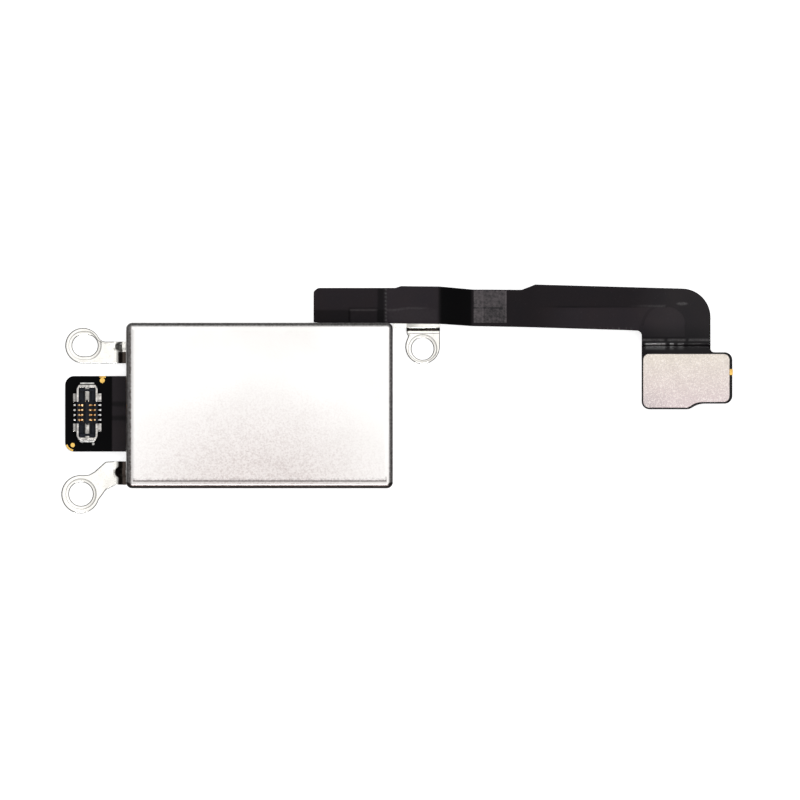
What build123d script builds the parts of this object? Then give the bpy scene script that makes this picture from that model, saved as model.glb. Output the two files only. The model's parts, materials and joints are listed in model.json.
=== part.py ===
from build123d import *
import math
import os

# Linear vibration motor: a flat rectangular case with three screw lugs, a board-to-board
# receptacle on a short flex tab at its left, and a flex tail that ends in a plug at its right.
# Frame: origin at the centre of the case's underside, +X towards the tail, +Z towards the cover.
# All lengths are in millimetres.

# ---- driving dimensions ----------------------------------------------------------------------
CASE_LENGTH = 19.0
CASE_WIDTH = 11.8
CASE_HEIGHT = 3.3
CASE_CORNER_R = 0.45
COVER_TOP_R = 0.42
COVER_WALL = 0.2
BASE_THICKNESS = 0.25
LUG_THICKNESS = 0.25

YOKE_THICKNESS = 0.45
FLEX_THICKNESS = 0.15
COIL_HEIGHT = 0.6
AIR_GAP = 0.15
MAGNET_HEIGHT = 0.95
MASS_YOKE_THICKNESS = 0.3

MASS_LENGTH = 14.6
MASS_WIDTH = 10.4
TRAVEL = 0.6
SPRING_THICKNESS = 0.15
SPRING_HEIGHT = 1.5
WELD_PLATE = 0.12

CONTACT_PITCH = 0.35
CONTACTS_PER_SIDE = 4
CONNECTOR_HEIGHT = 0.6

SHELF_Z = 0.4
TAPE_THICKNESS = 0.05
TAIL_RISE = 0.55
PAD_DROP = 0.25

# ---- heights worked out from them --------------------------------------------------------------
FLEX_Z = BASE_THICKNESS + YOKE_THICKNESS
FLEX_TOP = FLEX_Z + FLEX_THICKNESS
FLEX_MID = FLEX_Z + FLEX_THICKNESS / 2
MAGNET_Z = FLEX_TOP + COIL_HEIGHT + AIR_GAP
MAGNET_TOP = MAGNET_Z + MAGNET_HEIGHT
SPRING_Z = 1.3
TAIL_MID = FLEX_MID + TAIL_RISE
PAD_MID = TAIL_MID - PAD_DROP
PAD_TOP = PAD_MID + FLEX_THICKNESS / 2
PAD_UNDERSIDE = PAD_MID - FLEX_THICKNESS / 2

HALF_LENGTH = CASE_LENGTH / 2
HALF_WIDTH = CASE_WIDTH / 2
INNER_X = HALF_LENGTH - COVER_WALL
INNER_Y = HALF_WIDTH - COVER_WALL

# Upright limits of a solid that cuts right through the motor
FULL_HEIGHT = (-1.0, 4.0)

# ---- where the flex circuit bends --------------------------------------------------------------
TAB_HINGE_X = -10.0
TAIL_HINGE_X = 14.025
PAD_HINGE_Y = 4.45
BEND_GAP = 0.08
PAD_BEND_GAP = 0.14

# ---- plan dimensions of the flex circuit -------------------------------------------------------
TAB_X = (-13.87, -9.5)
TAB_Y = (-3.29, 2.1)
TAB_STIFF_END = -10.52
TAIL_ROOT_X = (3.84, 12.85)
TAIL_SLOPE_END = 15.2
LEG_X = (27.22, 32.12)
PAD_X = (27.22, 33.68)
STIFFENER_X = (27.32, 33.48)


def slab(x_range, y_range, z_range, radius=0.0):
    """A flat plate between the given limits, with rounded upright edges."""
    size_x = x_range[1] - x_range[0]
    size_y = y_range[1] - y_range[0]
    middle = Pos(sum(x_range) / 2, sum(y_range) / 2, z_range[0])
    outline = RectangleRounded(size_x, size_y, radius) if radius else Rectangle(size_x, size_y)
    return extrude(middle * outline, amount=z_range[1] - z_range[0])


def plate_of(outline, z_range):
    """A flat plate with the given plan outline."""
    return extrude(Pos(0, 0, z_range[0]) * outline, amount=z_range[1] - z_range[0])


def outline_face(*lines):
    """A plan outline from joined lines and arcs."""
    return make_face(Curve() + list(lines))


def mitred_strip(points, thickness):
    """The outline of a sheet of even thickness whose middle follows the given points."""
    sides = ([], [])
    for index, (u, v) in enumerate(points):
        before = points[max(index - 1, 0)]
        after = points[min(index + 1, len(points) - 1)]
        angle_in = math.atan2(v - before[1], u - before[0]) if index else None
        angle_out = math.atan2(after[1] - v, after[0] - u) if index < len(points) - 1 else None
        angle_in = angle_out if angle_in is None else angle_in
        angle_out = angle_in if angle_out is None else angle_out
        middle = (angle_in + angle_out) / 2
        reach = thickness / 2 / math.cos((angle_out - angle_in) / 2)
        for side, sign in zip(sides, (1, -1)):
            side.append((u - sign * reach * math.sin(middle), v + sign * reach * math.cos(middle)))
    corners = sides[0] + sides[1][::-1]
    return make_face(Polyline(*corners, close=True))


def sheet_along_x(points, thickness, y_range):
    """A bent sheet whose middle follows (x, z) points, as wide as y_range."""
    face = Plane.XZ * mitred_strip(points, thickness)
    return Pos(0, y_range[1], 0) * extrude(face, amount=y_range[1] - y_range[0])


def sheet_along_y(points, thickness, x_range):
    """A bent sheet whose middle follows (y, z) points, as wide as x_range."""
    face = Plane.YZ * mitred_strip(points, thickness)
    return Pos(x_range[0], 0, 0) * extrude(face, amount=x_range[1] - x_range[0])


# ---- case ---------------------------------------------------------------------------------------
NOTCH_TOP = FLEX_TOP + 0.08
TAB_NOTCH_Y = (TAB_Y[0] - 0.1, TAB_Y[1] + 0.1)
TAIL_NOTCH_X = (4.0, 9.0)


def base_plate():
    """The flat bottom of the case."""
    x_range, y_range = (-HALF_LENGTH, HALF_LENGTH), (-HALF_WIDTH, HALF_WIDTH)
    return slab(x_range, y_range, (0, BASE_THICKNESS), CASE_CORNER_R)


def top_cover():
    """A drawn steel lid with a notch in its left wall and one in its rear wall for the flex."""
    x_range, y_range = (-HALF_LENGTH, HALF_LENGTH), (-HALF_WIDTH, HALF_WIDTH)
    outer = slab(x_range, y_range, (BASE_THICKNESS, CASE_HEIGHT), CASE_CORNER_R)
    outer = fillet(outer.edges().group_by(Axis.Z)[-1], COVER_TOP_R)
    roof = CASE_HEIGHT - COVER_WALL
    inner = slab((-INNER_X, INNER_X), (-INNER_Y, INNER_Y), (BASE_THICKNESS, roof), 0.27)
    inner = fillet(inner.edges().group_by(Axis.Z)[-1], COVER_TOP_R - COVER_WALL)
    notch_z = (BASE_THICKNESS, NOTCH_TOP)
    tab_notch = slab((-HALF_LENGTH - 1, -INNER_X + 0.1), TAB_NOTCH_Y, notch_z)
    tail_notch = slab(TAIL_NOTCH_X, (INNER_Y - 0.1, HALF_WIDTH + 1), notch_z)
    return outer - inner - tab_notch - tail_notch


# ---- screw lugs -----------------------------------------------------------------------------------
FLANGE_HEIGHT = 2.1
FLANGE_X = (-HALF_LENGTH - LUG_THICKNESS, -HALF_LENGTH)
GUSSET = 0.55
COIN_DEPTH = 0.04

REAR_RING = (-12.61, 4.27)
REAR_RING_R = 1.26
REAR_SLOT = (-12.46, 4.27)
REAR_SLOT_LENGTH = 1.82
REAR_SLOT_WIDTH = 1.53
REAR_STEM_Y = (3.0, 4.55)

FRONT_RING = (-12.79, -6.33)
FRONT_RING_R = 1.36
FRONT_HOLE = (-12.75, -6.31)
FRONT_HOLE_R = 0.85
FRONT_STEM_Y = (-5.4, -3.98)

RIGHT_HOLE = (11.61, 4.04)
RIGHT_RING = (11.61, 4.19)
RIGHT_RING_R = 1.23
RIGHT_HOLE_R = 0.785
RIGHT_TAB_X = (10.45, 12.85)
STEP_Y = (5.36, 5.6)
SHELF_BACK = 8.2


def upright_flange(stem_y):
    """The flange that is welded to the case's left wall, with a pressed gusset in its bend."""
    flange = slab(FLANGE_X, stem_y, (0, FLANGE_HEIGHT))
    foot = slab((FLANGE_X[0] - GUSSET, FLANGE_X[0]), stem_y, (0, LUG_THICKNESS))
    inner_corner = (FLANGE_X[0], LUG_THICKNESS)
    rib = Polyline(
        (inner_corner[0] - GUSSET, inner_corner[1]),
        inner_corner,
        (inner_corner[0], inner_corner[1] + GUSSET),
        close=True,
    )
    middle = sum(stem_y) / 2
    width = (stem_y[1] - stem_y[0]) * 0.45
    wedge = extrude(Plane.XZ * make_face(rib), amount=width)
    return flange + foot + Pos(0, middle + width / 2, 0) * wedge


def coined_step(outline):
    """The shallow recess pressed around a screw hole."""
    return plate_of(outline, (LUG_THICKNESS - COIN_DEPTH, LUG_THICKNESS + 1))


def rear_left_lug():
    """A lug with a slotted hole, on a stem that turns up onto the case wall."""
    stem_x = (REAR_RING[0], FLANGE_X[0] - GUSSET)
    ring = Pos(*REAR_RING) * Circle(REAR_RING_R)
    centre = (sum(stem_x) / 2, sum(REAR_STEM_Y) / 2)
    stem = Pos(*centre) * Rectangle(stem_x[1] - stem_x[0], REAR_STEM_Y[1] - REAR_STEM_Y[0])
    outline = ring + stem
    necks = [v for v in outline.vertices() if -11.6 < v.X < -11.2]
    outline = fillet(necks, 0.6)
    slot = Pos(*REAR_SLOT) * SlotOverall(REAR_SLOT_LENGTH, REAR_SLOT_WIDTH)
    coin = Pos(*REAR_SLOT) * SlotOverall(REAR_SLOT_LENGTH + 0.5, REAR_SLOT_WIDTH + 0.5)
    coin = coin & Pos(*REAR_RING) * Circle(REAR_RING_R - 0.08)
    flat = plate_of(outline, (0, LUG_THICKNESS)) + upright_flange(REAR_STEM_Y)
    return flat - plate_of(slot, FULL_HEIGHT) - coined_step(coin)


def front_left_lug():
    """A lug with a round hole, on a stem that runs forward and to the left of the case."""
    stem = make_face(
        Polyline(
            (-12.79, -4.97),
            (-12.2, -4.95),
            (-11.8, -4.73),
            (-11.0, -4.02),
            (FLANGE_X[0] - GUSSET, FRONT_STEM_Y[1]),
            (FLANGE_X[0] - GUSSET, FRONT_STEM_Y[0] - 0.27),
            (-10.96, -6.0),
            (-11.46, -6.66),
            FRONT_RING,
            close=True,
        )
    )
    toe_x = (FLANGE_X[0] - GUSSET, FLANGE_X[0])
    toe = slab(toe_x, (FRONT_STEM_Y[0] - 0.27, FRONT_STEM_Y[1]), (0, LUG_THICKNESS))
    outline = Pos(*FRONT_RING) * Circle(FRONT_RING_R) + stem
    flat = plate_of(outline, (0, LUG_THICKNESS)) + toe + upright_flange(FRONT_STEM_Y)
    hole = plate_of(Pos(*FRONT_HOLE) * Circle(FRONT_HOLE_R), FULL_HEIGHT)
    return flat - hole - coined_step(Pos(*FRONT_HOLE) * Circle(FRONT_HOLE_R + 0.24))


def right_lug_bracket():
    """A lug that steps up into a shelf, which carries the root of the flex tail."""
    ring = plate_of(Pos(*RIGHT_RING) * Circle(RIGHT_RING_R), (0, LUG_THICKNESS))
    middle = LUG_THICKNESS / 2
    profile = [
        (RIGHT_HOLE[1] + 0.35, middle),
        (STEP_Y[0], middle),
        (STEP_Y[1], SHELF_Z + middle),
        (SHELF_BACK, SHELF_Z + middle),
    ]
    tab = sheet_along_y(profile, LUG_THICKNESS, RIGHT_TAB_X)
    shelf_z = (SHELF_Z, SHELF_Z + LUG_THICKNESS)
    shelf = slab((TAIL_ROOT_X[0], RIGHT_TAB_X[0] + 0.1), (HALF_WIDTH, SHELF_BACK), shelf_z)
    strip = slab((HALF_LENGTH, RIGHT_TAB_X[0] + 0.1), (5.55, HALF_WIDTH), shelf_z)
    flange = slab((4.4, 8.9), (HALF_WIDTH, HALF_WIDTH + LUG_THICKNESS), (0, shelf_z[1]))
    hole = plate_of(Pos(*RIGHT_HOLE) * Circle(RIGHT_HOLE_R), FULL_HEIGHT)
    body = ring + tab + shelf + strip + flange
    return body - hole - coined_step(Pos(*RIGHT_HOLE) * Circle(RIGHT_HOLE_R + 0.24))


# ---- stator ---------------------------------------------------------------------------------------
COIL_X = 3.2
COIL_SIZE = (5.6, 8.4)
COIL_HOLE = (1.8, 4.6)
YOKE_HALF = (8.9, 5.3)


def stator_yoke():
    """The soft-iron plate on the base that closes the magnetic circuit."""
    half_x, half_y = YOKE_HALF
    return slab((-half_x, half_x), (-half_y, half_y), (BASE_THICKNESS, FLEX_Z), 0.4)


def coil(centre_x):
    """A flat racetrack coil of enamelled copper wire."""
    outer = RectangleRounded(*COIL_SIZE, 1.9)
    inner = RectangleRounded(*COIL_HOLE, 0.5)
    ring = Pos(centre_x, 0) * (outer - inner)
    return plate_of(ring, (FLEX_TOP, FLEX_TOP + COIL_HEIGHT))


def hall_sensor():
    """The position sensor in the left coil's hole."""
    return slab((-COIL_X - 0.5, -COIL_X + 0.5), (-0.5, 0.5), (FLEX_TOP, FLEX_TOP + 0.4), 0.05)


def memory_chip():
    """The calibration memory at the right end of the flex."""
    return slab((6.35, 7.15), (-3.6, -2.4), (FLEX_TOP, FLEX_TOP + 0.35), 0.05)


def chip_capacitors():
    """Three ceramic capacitors in a row beside the memory."""
    size_x, size_y, height = 0.3, 0.6, 0.3
    chips = []
    for index in range(3):
        middle_y = -0.6 + index * 1.1
        x_range = (6.75 - size_x / 2, 6.75 + size_x / 2)
        y_range = (middle_y - size_y / 2, middle_y + size_y / 2)
        chips.append(slab(x_range, y_range, (FLEX_TOP, FLEX_TOP + height)))
    return Compound(children=chips)


# ---- moving mass ----------------------------------------------------------------------------------
MAGNET_Y = 3.6
END_MAGNET_X = (3.8, 6.4)
CENTRE_MAGNET_X = (-2.5, 2.5)
GLUE_LINE = 0.03


def magnet(x_range):
    """A magnet block that faces the coils."""
    return slab(x_range, (-MAGNET_Y, MAGNET_Y), (MAGNET_Z, MAGNET_TOP), 0.15)


def mass_frame():
    """The tungsten frame around the magnets, with one window for each."""
    half_x, half_y = MASS_LENGTH / 2, MASS_WIDTH / 2
    frame = slab((-half_x, half_x), (-half_y, half_y), (MAGNET_Z, MAGNET_TOP), 0.5)
    mirrored = (-END_MAGNET_X[1], -END_MAGNET_X[0])
    for low, high in (mirrored, CENTRE_MAGNET_X, END_MAGNET_X):
        window_x = (low - GLUE_LINE, high + GLUE_LINE)
        window_y = (-MAGNET_Y - GLUE_LINE, MAGNET_Y + GLUE_LINE)
        frame -= slab(window_x, window_y, (MAGNET_Z - 1, MAGNET_TOP + 1), 0.15)
    return frame


def mass_yoke():
    """The soft-iron plate on top of the magnets."""
    half_x, half_y = MASS_LENGTH / 2, MASS_WIDTH / 2 - 0.4
    z_range = (MAGNET_TOP, MAGNET_TOP + MASS_YOKE_THICKNESS)
    return slab((-half_x, half_x), (-half_y, half_y), z_range, 0.5)


# ---- springs and stops ----------------------------------------------------------------------------
MASS_END = MASS_LENGTH / 2
WELD_Y = (2.6, 4.5)
SPRING_TURN_Y = -4.6
SPRING_SPAN = (SPRING_Z, SPRING_Z + SPRING_HEIGHT)


def leaf_spring():
    """The right spring: a strip on edge, welded to the mass, folded back and welded to the case."""
    mass_x = MASS_END + SPRING_THICKNESS / 2
    case_x = INNER_X - SPRING_THICKNESS / 2
    middle = (mass_x + case_x) / 2
    path = FilletPolyline(
        (mass_x, WELD_Y[1]),
        (mass_x, WELD_Y[0]),
        (middle - 0.4, SPRING_TURN_Y),
        (middle + 0.4, SPRING_TURN_Y),
        (case_x, WELD_Y[0]),
        (case_x, WELD_Y[1]),
        radius=0.35,
    )
    return plate_of(trace(path, line_width=SPRING_THICKNESS), SPRING_SPAN)


def weld_plate(x_range):
    """The small plate that clamps a spring's end where it is welded."""
    return slab(x_range, WELD_Y, (SPRING_SPAN[0] + 0.1, SPRING_SPAN[1] - 0.1))


def bumper():
    """The rubber stop at the right end: the mass meets it just past its full travel."""
    face = INNER_X - SPRING_THICKNESS - WELD_PLATE
    meets = MASS_END + SPRING_THICKNESS + WELD_PLATE + TRAVEL + 0.03
    return slab((meets, face), (WELD_Y[0] + 0.2, WELD_Y[1] - 0.2), (1.5, 2.6), 0.1)


def turned(shape):
    """The same piece at the other end of the case: half a turn about the upright axis."""
    return Rot(0, 0, 180) * shape


def both_ends(shape):
    """The piece and its twin at the other end, as two solids of one node."""
    return Compound(children=[shape, turned(shape)])


# ---- flex circuit ---------------------------------------------------------------------------------
def tail_outline():
    """The plan outline of the whole tail, from the shelf to the bend above the pad."""
    back_left = Line((TAIL_ROOT_X[0], 5.0), (TAIL_ROOT_X[0], 7.93))
    left_corner = RadiusArc((TAIL_ROOT_X[0], 7.93), (4.29, 8.38), 0.45)
    rear_edge = Polyline(
        (4.29, 8.38),
        (9.67, 8.38),
        (10.07, 8.51),
        (TAIL_ROOT_X[1], 8.48),
        (TAIL_SLOPE_END, 8.26),
        (18.67, 8.24),
        (19.64, 8.62),
        (30.07, 8.33),
    )
    outer_corner = RadiusArc((30.07, 8.33), (LEG_X[1], 6.28), 2.05)
    leg = Polyline(
        (LEG_X[1], 6.28), (LEG_X[1], PAD_HINGE_Y), (LEG_X[0], PAD_HINGE_Y), (LEG_X[0], 4.97)
    )
    inner_corner = RadiusArc((LEG_X[0], 4.97), (26.86, 5.33), -0.36)
    front_edge = Polyline(
        (26.86, 5.33),
        (18.9, 5.58),
        (TAIL_SLOPE_END, 5.65),
        (TAIL_ROOT_X[1], 5.81),
        (9.6, 5.85),
        (9.3, 5.0),
        (TAIL_ROOT_X[0], 5.0),
    )
    rear_side = [back_left, left_corner, rear_edge, outer_corner]
    return outline_face(*rear_side, leg, inner_corner, front_edge)


def tail_sheet(x_range):
    """The stretch of the tail between two x limits: level, then rising, then level again."""
    profile = [
        (3.0, FLEX_MID),
        (TAIL_ROOT_X[1], FLEX_MID),
        (TAIL_SLOPE_END, TAIL_MID),
        (33.0, TAIL_MID),
    ]
    bent = sheet_along_x(profile, FLEX_THICKNESS, (4.0, 9.5))
    return bent & plate_of(tail_outline(), FULL_HEIGHT) & slab(x_range, (3.0, 10.0), FULL_HEIGHT)


def main_flex():
    """The circuit under the coils, with its necks out of the left and rear walls."""
    inside = slab((-INNER_X + 0.15, INNER_X - 0.15), (-5.2, 5.2), (FLEX_Z, FLEX_TOP), 0.3)
    neck_x = (TAB_HINGE_X + BEND_GAP / 2, -INNER_X + 1)
    neck = slab(neck_x, TAB_Y, (FLEX_Z, FLEX_TOP))
    root = slab((TAIL_NOTCH_X[0] + 0.1, TAIL_NOTCH_X[1] - 0.1), (4.5, 6.2), (FLEX_Z, FLEX_TOP))
    outside = tail_sheet((3.0, TAIL_HINGE_X - BEND_GAP / 2))
    outside -= slab((0, HALF_LENGTH + 0.05), (0, HALF_WIDTH), FULL_HEIGHT)
    return inside + neck + root + outside


def left_tab_flex():
    """The flex of the short tab that carries the receptacle."""
    x_range = (TAB_X[0], TAB_HINGE_X - BEND_GAP / 2)
    flat = slab(x_range, TAB_Y, (FLEX_Z, FLEX_TOP))
    return fillet(flat.edges().filter_by(Axis.Z).group_by(Axis.X)[0], 0.65)


def left_tab_stiffener():
    """The glass-epoxy plate under the tab."""
    flat = slab((TAB_X[0], TAB_STIFF_END), TAB_Y, (FLEX_Z - 0.25, FLEX_Z))
    return fillet(flat.edges().filter_by(Axis.Z).group_by(Axis.X)[0], 0.65)


def tab_ground_pads():
    """Bare gold pads and a datum dot on the tab."""
    z_range = (FLEX_TOP, FLEX_TOP + 0.02)
    pads = [
        slab((-11.43, -10.96), (1.99, TAB_Y[1]), z_range),
        plate_of(Pos(-11.22, 1.77) * Circle(0.19), z_range),
        plate_of(Pos(-13.33, -2.72) * Circle(0.16), z_range),
        plate_of(Pos(-11.86, -2.74) * Circle(0.09), z_range),
    ]
    return Compound(children=pads)


def tail_flex():
    """The free part of the tail, from the sloped bend to the bend above the pad."""
    tail = tail_sheet((TAIL_HINGE_X + BEND_GAP / 2, 33.0))
    return tail - slab((25.0, 34.0), (3.0, PAD_HINGE_Y + PAD_BEND_GAP / 2), FULL_HEIGHT)


def shield_patch():
    """The thin patterned shielding patch on the tail."""
    z_low = TAIL_MID + FLEX_THICKNESS / 2
    return slab((15.25, 17.59), (5.89, 8.2), (z_low, z_low + 0.05))


def pad_outline():
    """The plan outline of the pad under the stiffener, with its short neck to the bend."""
    right_x, left_x = PAD_X[1], PAD_X[0]
    top_y, right_low_y, left_low_y = 3.79, 0.13, -0.27
    corner = 0.55
    neck_top = PAD_HINGE_Y - PAD_BEND_GAP / 2
    lines = [
        Polyline(
            (left_x, left_low_y + corner),
            (left_x, neck_top),
            (LEG_X[1], neck_top),
            (LEG_X[1], 4.05),
        ),
        RadiusArc((LEG_X[1], 4.05), (LEG_X[1] + 0.26, top_y), -0.26),
        Line((LEG_X[1] + 0.26, top_y), (right_x - corner, top_y)),
        RadiusArc((right_x - corner, top_y), (right_x, top_y - corner), corner),
        Line((right_x, top_y - corner), (right_x, right_low_y + corner)),
        RadiusArc((right_x, right_low_y + corner), (right_x - corner, right_low_y), corner),
        Polyline(
            (right_x - corner, right_low_y),
            (31.3, right_low_y),
            (30.6, left_low_y),
            (left_x + corner, left_low_y),
        ),
        RadiusArc((left_x + corner, left_low_y), (left_x, left_low_y + corner), corner),
    ]
    return outline_face(*lines)


def tail_pad_flex():
    """The pad at the tail's end: it steps down from the bend and runs level under the plate."""
    profile = [
        (PAD_HINGE_Y, TAIL_MID),
        (PAD_HINGE_Y - PAD_BEND_GAP / 2 - 0.03, TAIL_MID),
        (4.0, PAD_MID),
        (-0.5, PAD_MID),
    ]
    bent = sheet_along_y(profile, FLEX_THICKNESS, (26.0, 35.0))
    return bent & plate_of(pad_outline(), FULL_HEIGHT)


def tail_stiffener():
    """The steel plate that backs the plug, stepped along its front edge like the pad."""
    top_y, right_low_y, left_low_y = 3.67, 0.25, -0.15
    plate = slab(STIFFENER_X, (right_low_y, top_y), (PAD_TOP, PAD_TOP + 0.2), 0.42)
    lower = slab((STIFFENER_X[0], 30.6), (left_low_y, 2.0), (PAD_TOP, PAD_TOP + 0.2), 0.42)
    upright = slab((STIFFENER_X[0], 29.0), (0.5, 3.0), (PAD_TOP, PAD_TOP + 0.2))
    return plate + lower + upright


def tail_test_pad():
    """The bare gold pad at the right edge of the tail's end."""
    return slab((STIFFENER_X[1], 33.72), (2.17, 2.6), (PAD_TOP, PAD_TOP + 0.02))


# ---- board-to-board connectors --------------------------------------------------------------------
# Each is built standing on z = 0 with its length along y, and then put in its place.
HOUSING_WIDTH = 1.52
HOUSING_LENGTH = 4.28
ISLAND_WIDTH = 0.44
WALL_INSIDE = 0.5
STRIP = 0.07
CONTACT_WIDTH = 0.17
CONTACT_TAIL = 1.01
SLOT_PLAY = 0.01
FRAME_START = 0.98
FRAME_ARM = 0.2


def contact_rows():
    """The y of each contact in a row."""
    first = -(CONTACTS_PER_SIDE - 1) / 2 * CONTACT_PITCH
    return [first + index * CONTACT_PITCH for index in range(CONTACTS_PER_SIDE)]


def receptacle_contact(side, middle_y, play=0.0):
    """A strip from its solder tail, under the wall, and up the side of the island."""
    inner = ISLAND_WIDTH / 2 + STRIP + play
    rise = 0.45
    path = [
        (side * (CONTACT_TAIL + play), 0),
        (side * (CONTACT_TAIL + play), STRIP + play),
        (side * inner, STRIP + play),
        (side * inner, rise + play),
        (side * (ISLAND_WIDTH / 2), rise + play),
        (side * (ISLAND_WIDTH / 2), 0),
    ]
    width = CONTACT_WIDTH + 2 * play
    face = make_face(Plane.XZ * Polyline(*path, close=True))
    return Pos(0, middle_y + width / 2, 0) * extrude(face, amount=width, dir=(0, -1, 0))


def end_frame(end, play=0.0):
    """A metal frame around one end of the receptacle: a U in plan, with a foot at each side."""
    half, back = HOUSING_WIDTH / 2 + play, HOUSING_LENGTH / 2 + play
    arm_y = sorted((end * (FRAME_START - play), end * back))
    top = (CONNECTOR_HEIGHT - STRIP - play, CONNECTOR_HEIGHT + play)
    loop = slab((-half, half), arm_y, top)
    hollow_y = sorted((end * (FRAME_START - 1), end * (back - FRAME_ARM - 2 * play)))
    loop -= slab((-half + FRAME_ARM + 2 * play, half - FRAME_ARM - 2 * play), hollow_y, (-1, 2))
    foot_y = sorted((end * 1.05, end * 1.55))
    for side in (-1, 1):
        foot_x = sorted((side * HOUSING_WIDTH / 2, side * (HOUSING_WIDTH / 2 + 0.06)))
        toe_x = sorted((side * HOUSING_WIDTH / 2, side * CONTACT_TAIL))
        loop += slab(foot_x, foot_y, (0, top[1]))
        loop += slab(toe_x, foot_y, (0, STRIP))
    return loop


def receptacle_parts():
    """Housing, signal contacts and end frames of the receptacle."""
    half_x, half_y = HOUSING_WIDTH / 2, HOUSING_LENGTH / 2
    height = CONNECTOR_HEIGHT
    block = slab((-half_x, half_x), (-half_y, half_y), (0, height), 0.12)
    well = slab((-WALL_INSIDE, WALL_INSIDE), (-half_y + 0.45, half_y - 0.45), (0.1, height + 1), 0.05)
    island_half = ISLAND_WIDTH / 2
    island = slab((-island_half, island_half), (-1.25, 1.25), (0.1, height - 0.08), 0.05)
    housing = block - well + island
    contacts = []
    for side in (-1, 1):
        for middle_y in contact_rows():
            housing -= receptacle_contact(side, middle_y, SLOT_PLAY)
            contacts.append(receptacle_contact(side, middle_y))
    frames = [end_frame(end) for end in (-1, 1)]
    for frame in frames:
        housing -= frame
    return housing, Compound(children=contacts), Compound(children=frames)


PLUG_WIDTH = 1.5
PLUG_LENGTH = 3.6
PLUG_WALL = (0.28, 0.55)


def plug_contact(side, middle_y, play=0.0):
    """A strip from its solder tail up and over the plug's wall."""
    inner, outer = PLUG_WALL
    path = [
        (side * (PLUG_WIDTH / 2 + 0.2), 0),
        (side * (PLUG_WIDTH / 2 + 0.2), STRIP),
        (side * (outer + STRIP), STRIP),
        (side * (outer + STRIP), 0.5 + STRIP),
        (side * (inner - STRIP), 0.5 + STRIP),
        (side * (inner - STRIP), 0.3),
        (side * inner, 0.3),
        (side * inner, 0.5),
        (side * outer, 0.5),
        (side * outer, 0),
    ]
    face = make_face(Plane.XZ * Polyline(*path, close=True))
    strip = extrude(face, amount=CONTACT_WIDTH, dir=(0, -1, 0))
    return Pos(0, middle_y + CONTACT_WIDTH / 2, 0) * strip


def plug_parts():
    """Housing, signal contacts and end contacts of the plug."""
    inner, outer = PLUG_WALL
    half_y = PLUG_LENGTH / 2
    block = slab((-outer, outer), (-half_y + 0.4, half_y - 0.4), (0, 0.5), 0.05)
    block -= slab((-inner, inner), (-half_y + 0.65, half_y - 0.65), (0.12, 1))
    caps = []
    for end in (-1, 1):
        block_y = sorted((end * (half_y - 0.4), end * half_y))
        cap = slab((-outer, outer), block_y, (0, 0.5))
        for side in (-1, 1):
            toe_x = sorted((side * outer, side * (PLUG_WIDTH / 2 + 0.2)))
            cap += slab(toe_x, block_y, (0, STRIP))
        caps.append(cap)
    contacts = [plug_contact(side, y) for side in (-1, 1) for y in contact_rows()]
    return block, Compound(children=contacts), Compound(children=caps)


RECEPTACLE_PLACE = Pos(-12.29, -0.5, FLEX_TOP)
PLUG_PLACE = Pos(30.4, 1.8, PAD_UNDERSIDE) * Rot(180, 0, 90)


# ---- write one file per piece ---------------------------------------------------------------------
def all_pieces():
    """Every piece of the motor, by name."""
    receptacle_housing, receptacle_contacts, receptacle_frames = receptacle_parts()
    plug_housing, plug_contacts, plug_caps = plug_parts()
    spring = leaf_spring()
    stop = bumper()
    case_plate = weld_plate((INNER_X - SPRING_THICKNESS - WELD_PLATE, INNER_X - SPRING_THICKNESS))
    mass_plate = weld_plate((MASS_END + SPRING_THICKNESS, MASS_END + SPRING_THICKNESS + WELD_PLATE))
    tape_z = (FLEX_Z - TAPE_THICKNESS, FLEX_Z)
    tape_x = (TAIL_ROOT_X[0] + 0.1, TAIL_ROOT_X[1] - 0.1)
    tape = slab(tape_x, (HALF_WIDTH + 0.02, SHELF_BACK - 0.1), tape_z)
    return {
        "base_plate": base_plate(),
        "top_cover": top_cover(),
        "rear_left_lug": rear_left_lug(),
        "front_left_lug": front_left_lug(),
        "right_lug_bracket": right_lug_bracket(),
        "stator_yoke": stator_yoke(),
        "main_flex": main_flex(),
        "shelf_tape": tape,
        "left_coil": coil(-COIL_X),
        "right_coil": coil(COIL_X),
        "hall_sensor": hall_sensor(),
        "memory_chip": memory_chip(),
        "chip_capacitors": chip_capacitors(),
        "right_spring": spring,
        "left_spring": turned(spring),
        "case_weld_plates": both_ends(case_plate),
        "right_bumper": stop,
        "left_bumper": turned(stop),
        "mass_frame": mass_frame(),
        "left_magnet": magnet((-END_MAGNET_X[1], -END_MAGNET_X[0])),
        "centre_magnet": magnet(CENTRE_MAGNET_X),
        "right_magnet": magnet(END_MAGNET_X),
        "mass_yoke": mass_yoke(),
        "mass_weld_plates": both_ends(mass_plate),
        "left_tab_flex": left_tab_flex(),
        "left_tab_stiffener": left_tab_stiffener(),
        "tab_ground_pads": tab_ground_pads(),
        "receptacle_housing": RECEPTACLE_PLACE * receptacle_housing,
        "receptacle_contacts": RECEPTACLE_PLACE * receptacle_contacts,
        "receptacle_end_frames": RECEPTACLE_PLACE * receptacle_frames,
        "tail_flex": tail_flex(),
        "shield_patch": shield_patch(),
        "tail_pad_flex": tail_pad_flex(),
        "tail_stiffener": tail_stiffener(),
        "tail_test_pad": tail_test_pad(),
        "plug_housing": PLUG_PLACE * plug_housing,
        "plug_contacts": PLUG_PLACE * plug_contacts,
        "plug_end_contacts": PLUG_PLACE * plug_caps,
    }


def write_pieces():
    """Write each piece to parts/NAME.step."""
    os.makedirs("parts", exist_ok=True)
    for name, piece in all_pieces().items():
        export_step(piece, f"parts/{name}.step")


write_pieces()
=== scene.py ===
import json
import logging
import math
from dataclasses import dataclass, field
from enum import Enum
from typing import Callable, Sequence

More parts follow.
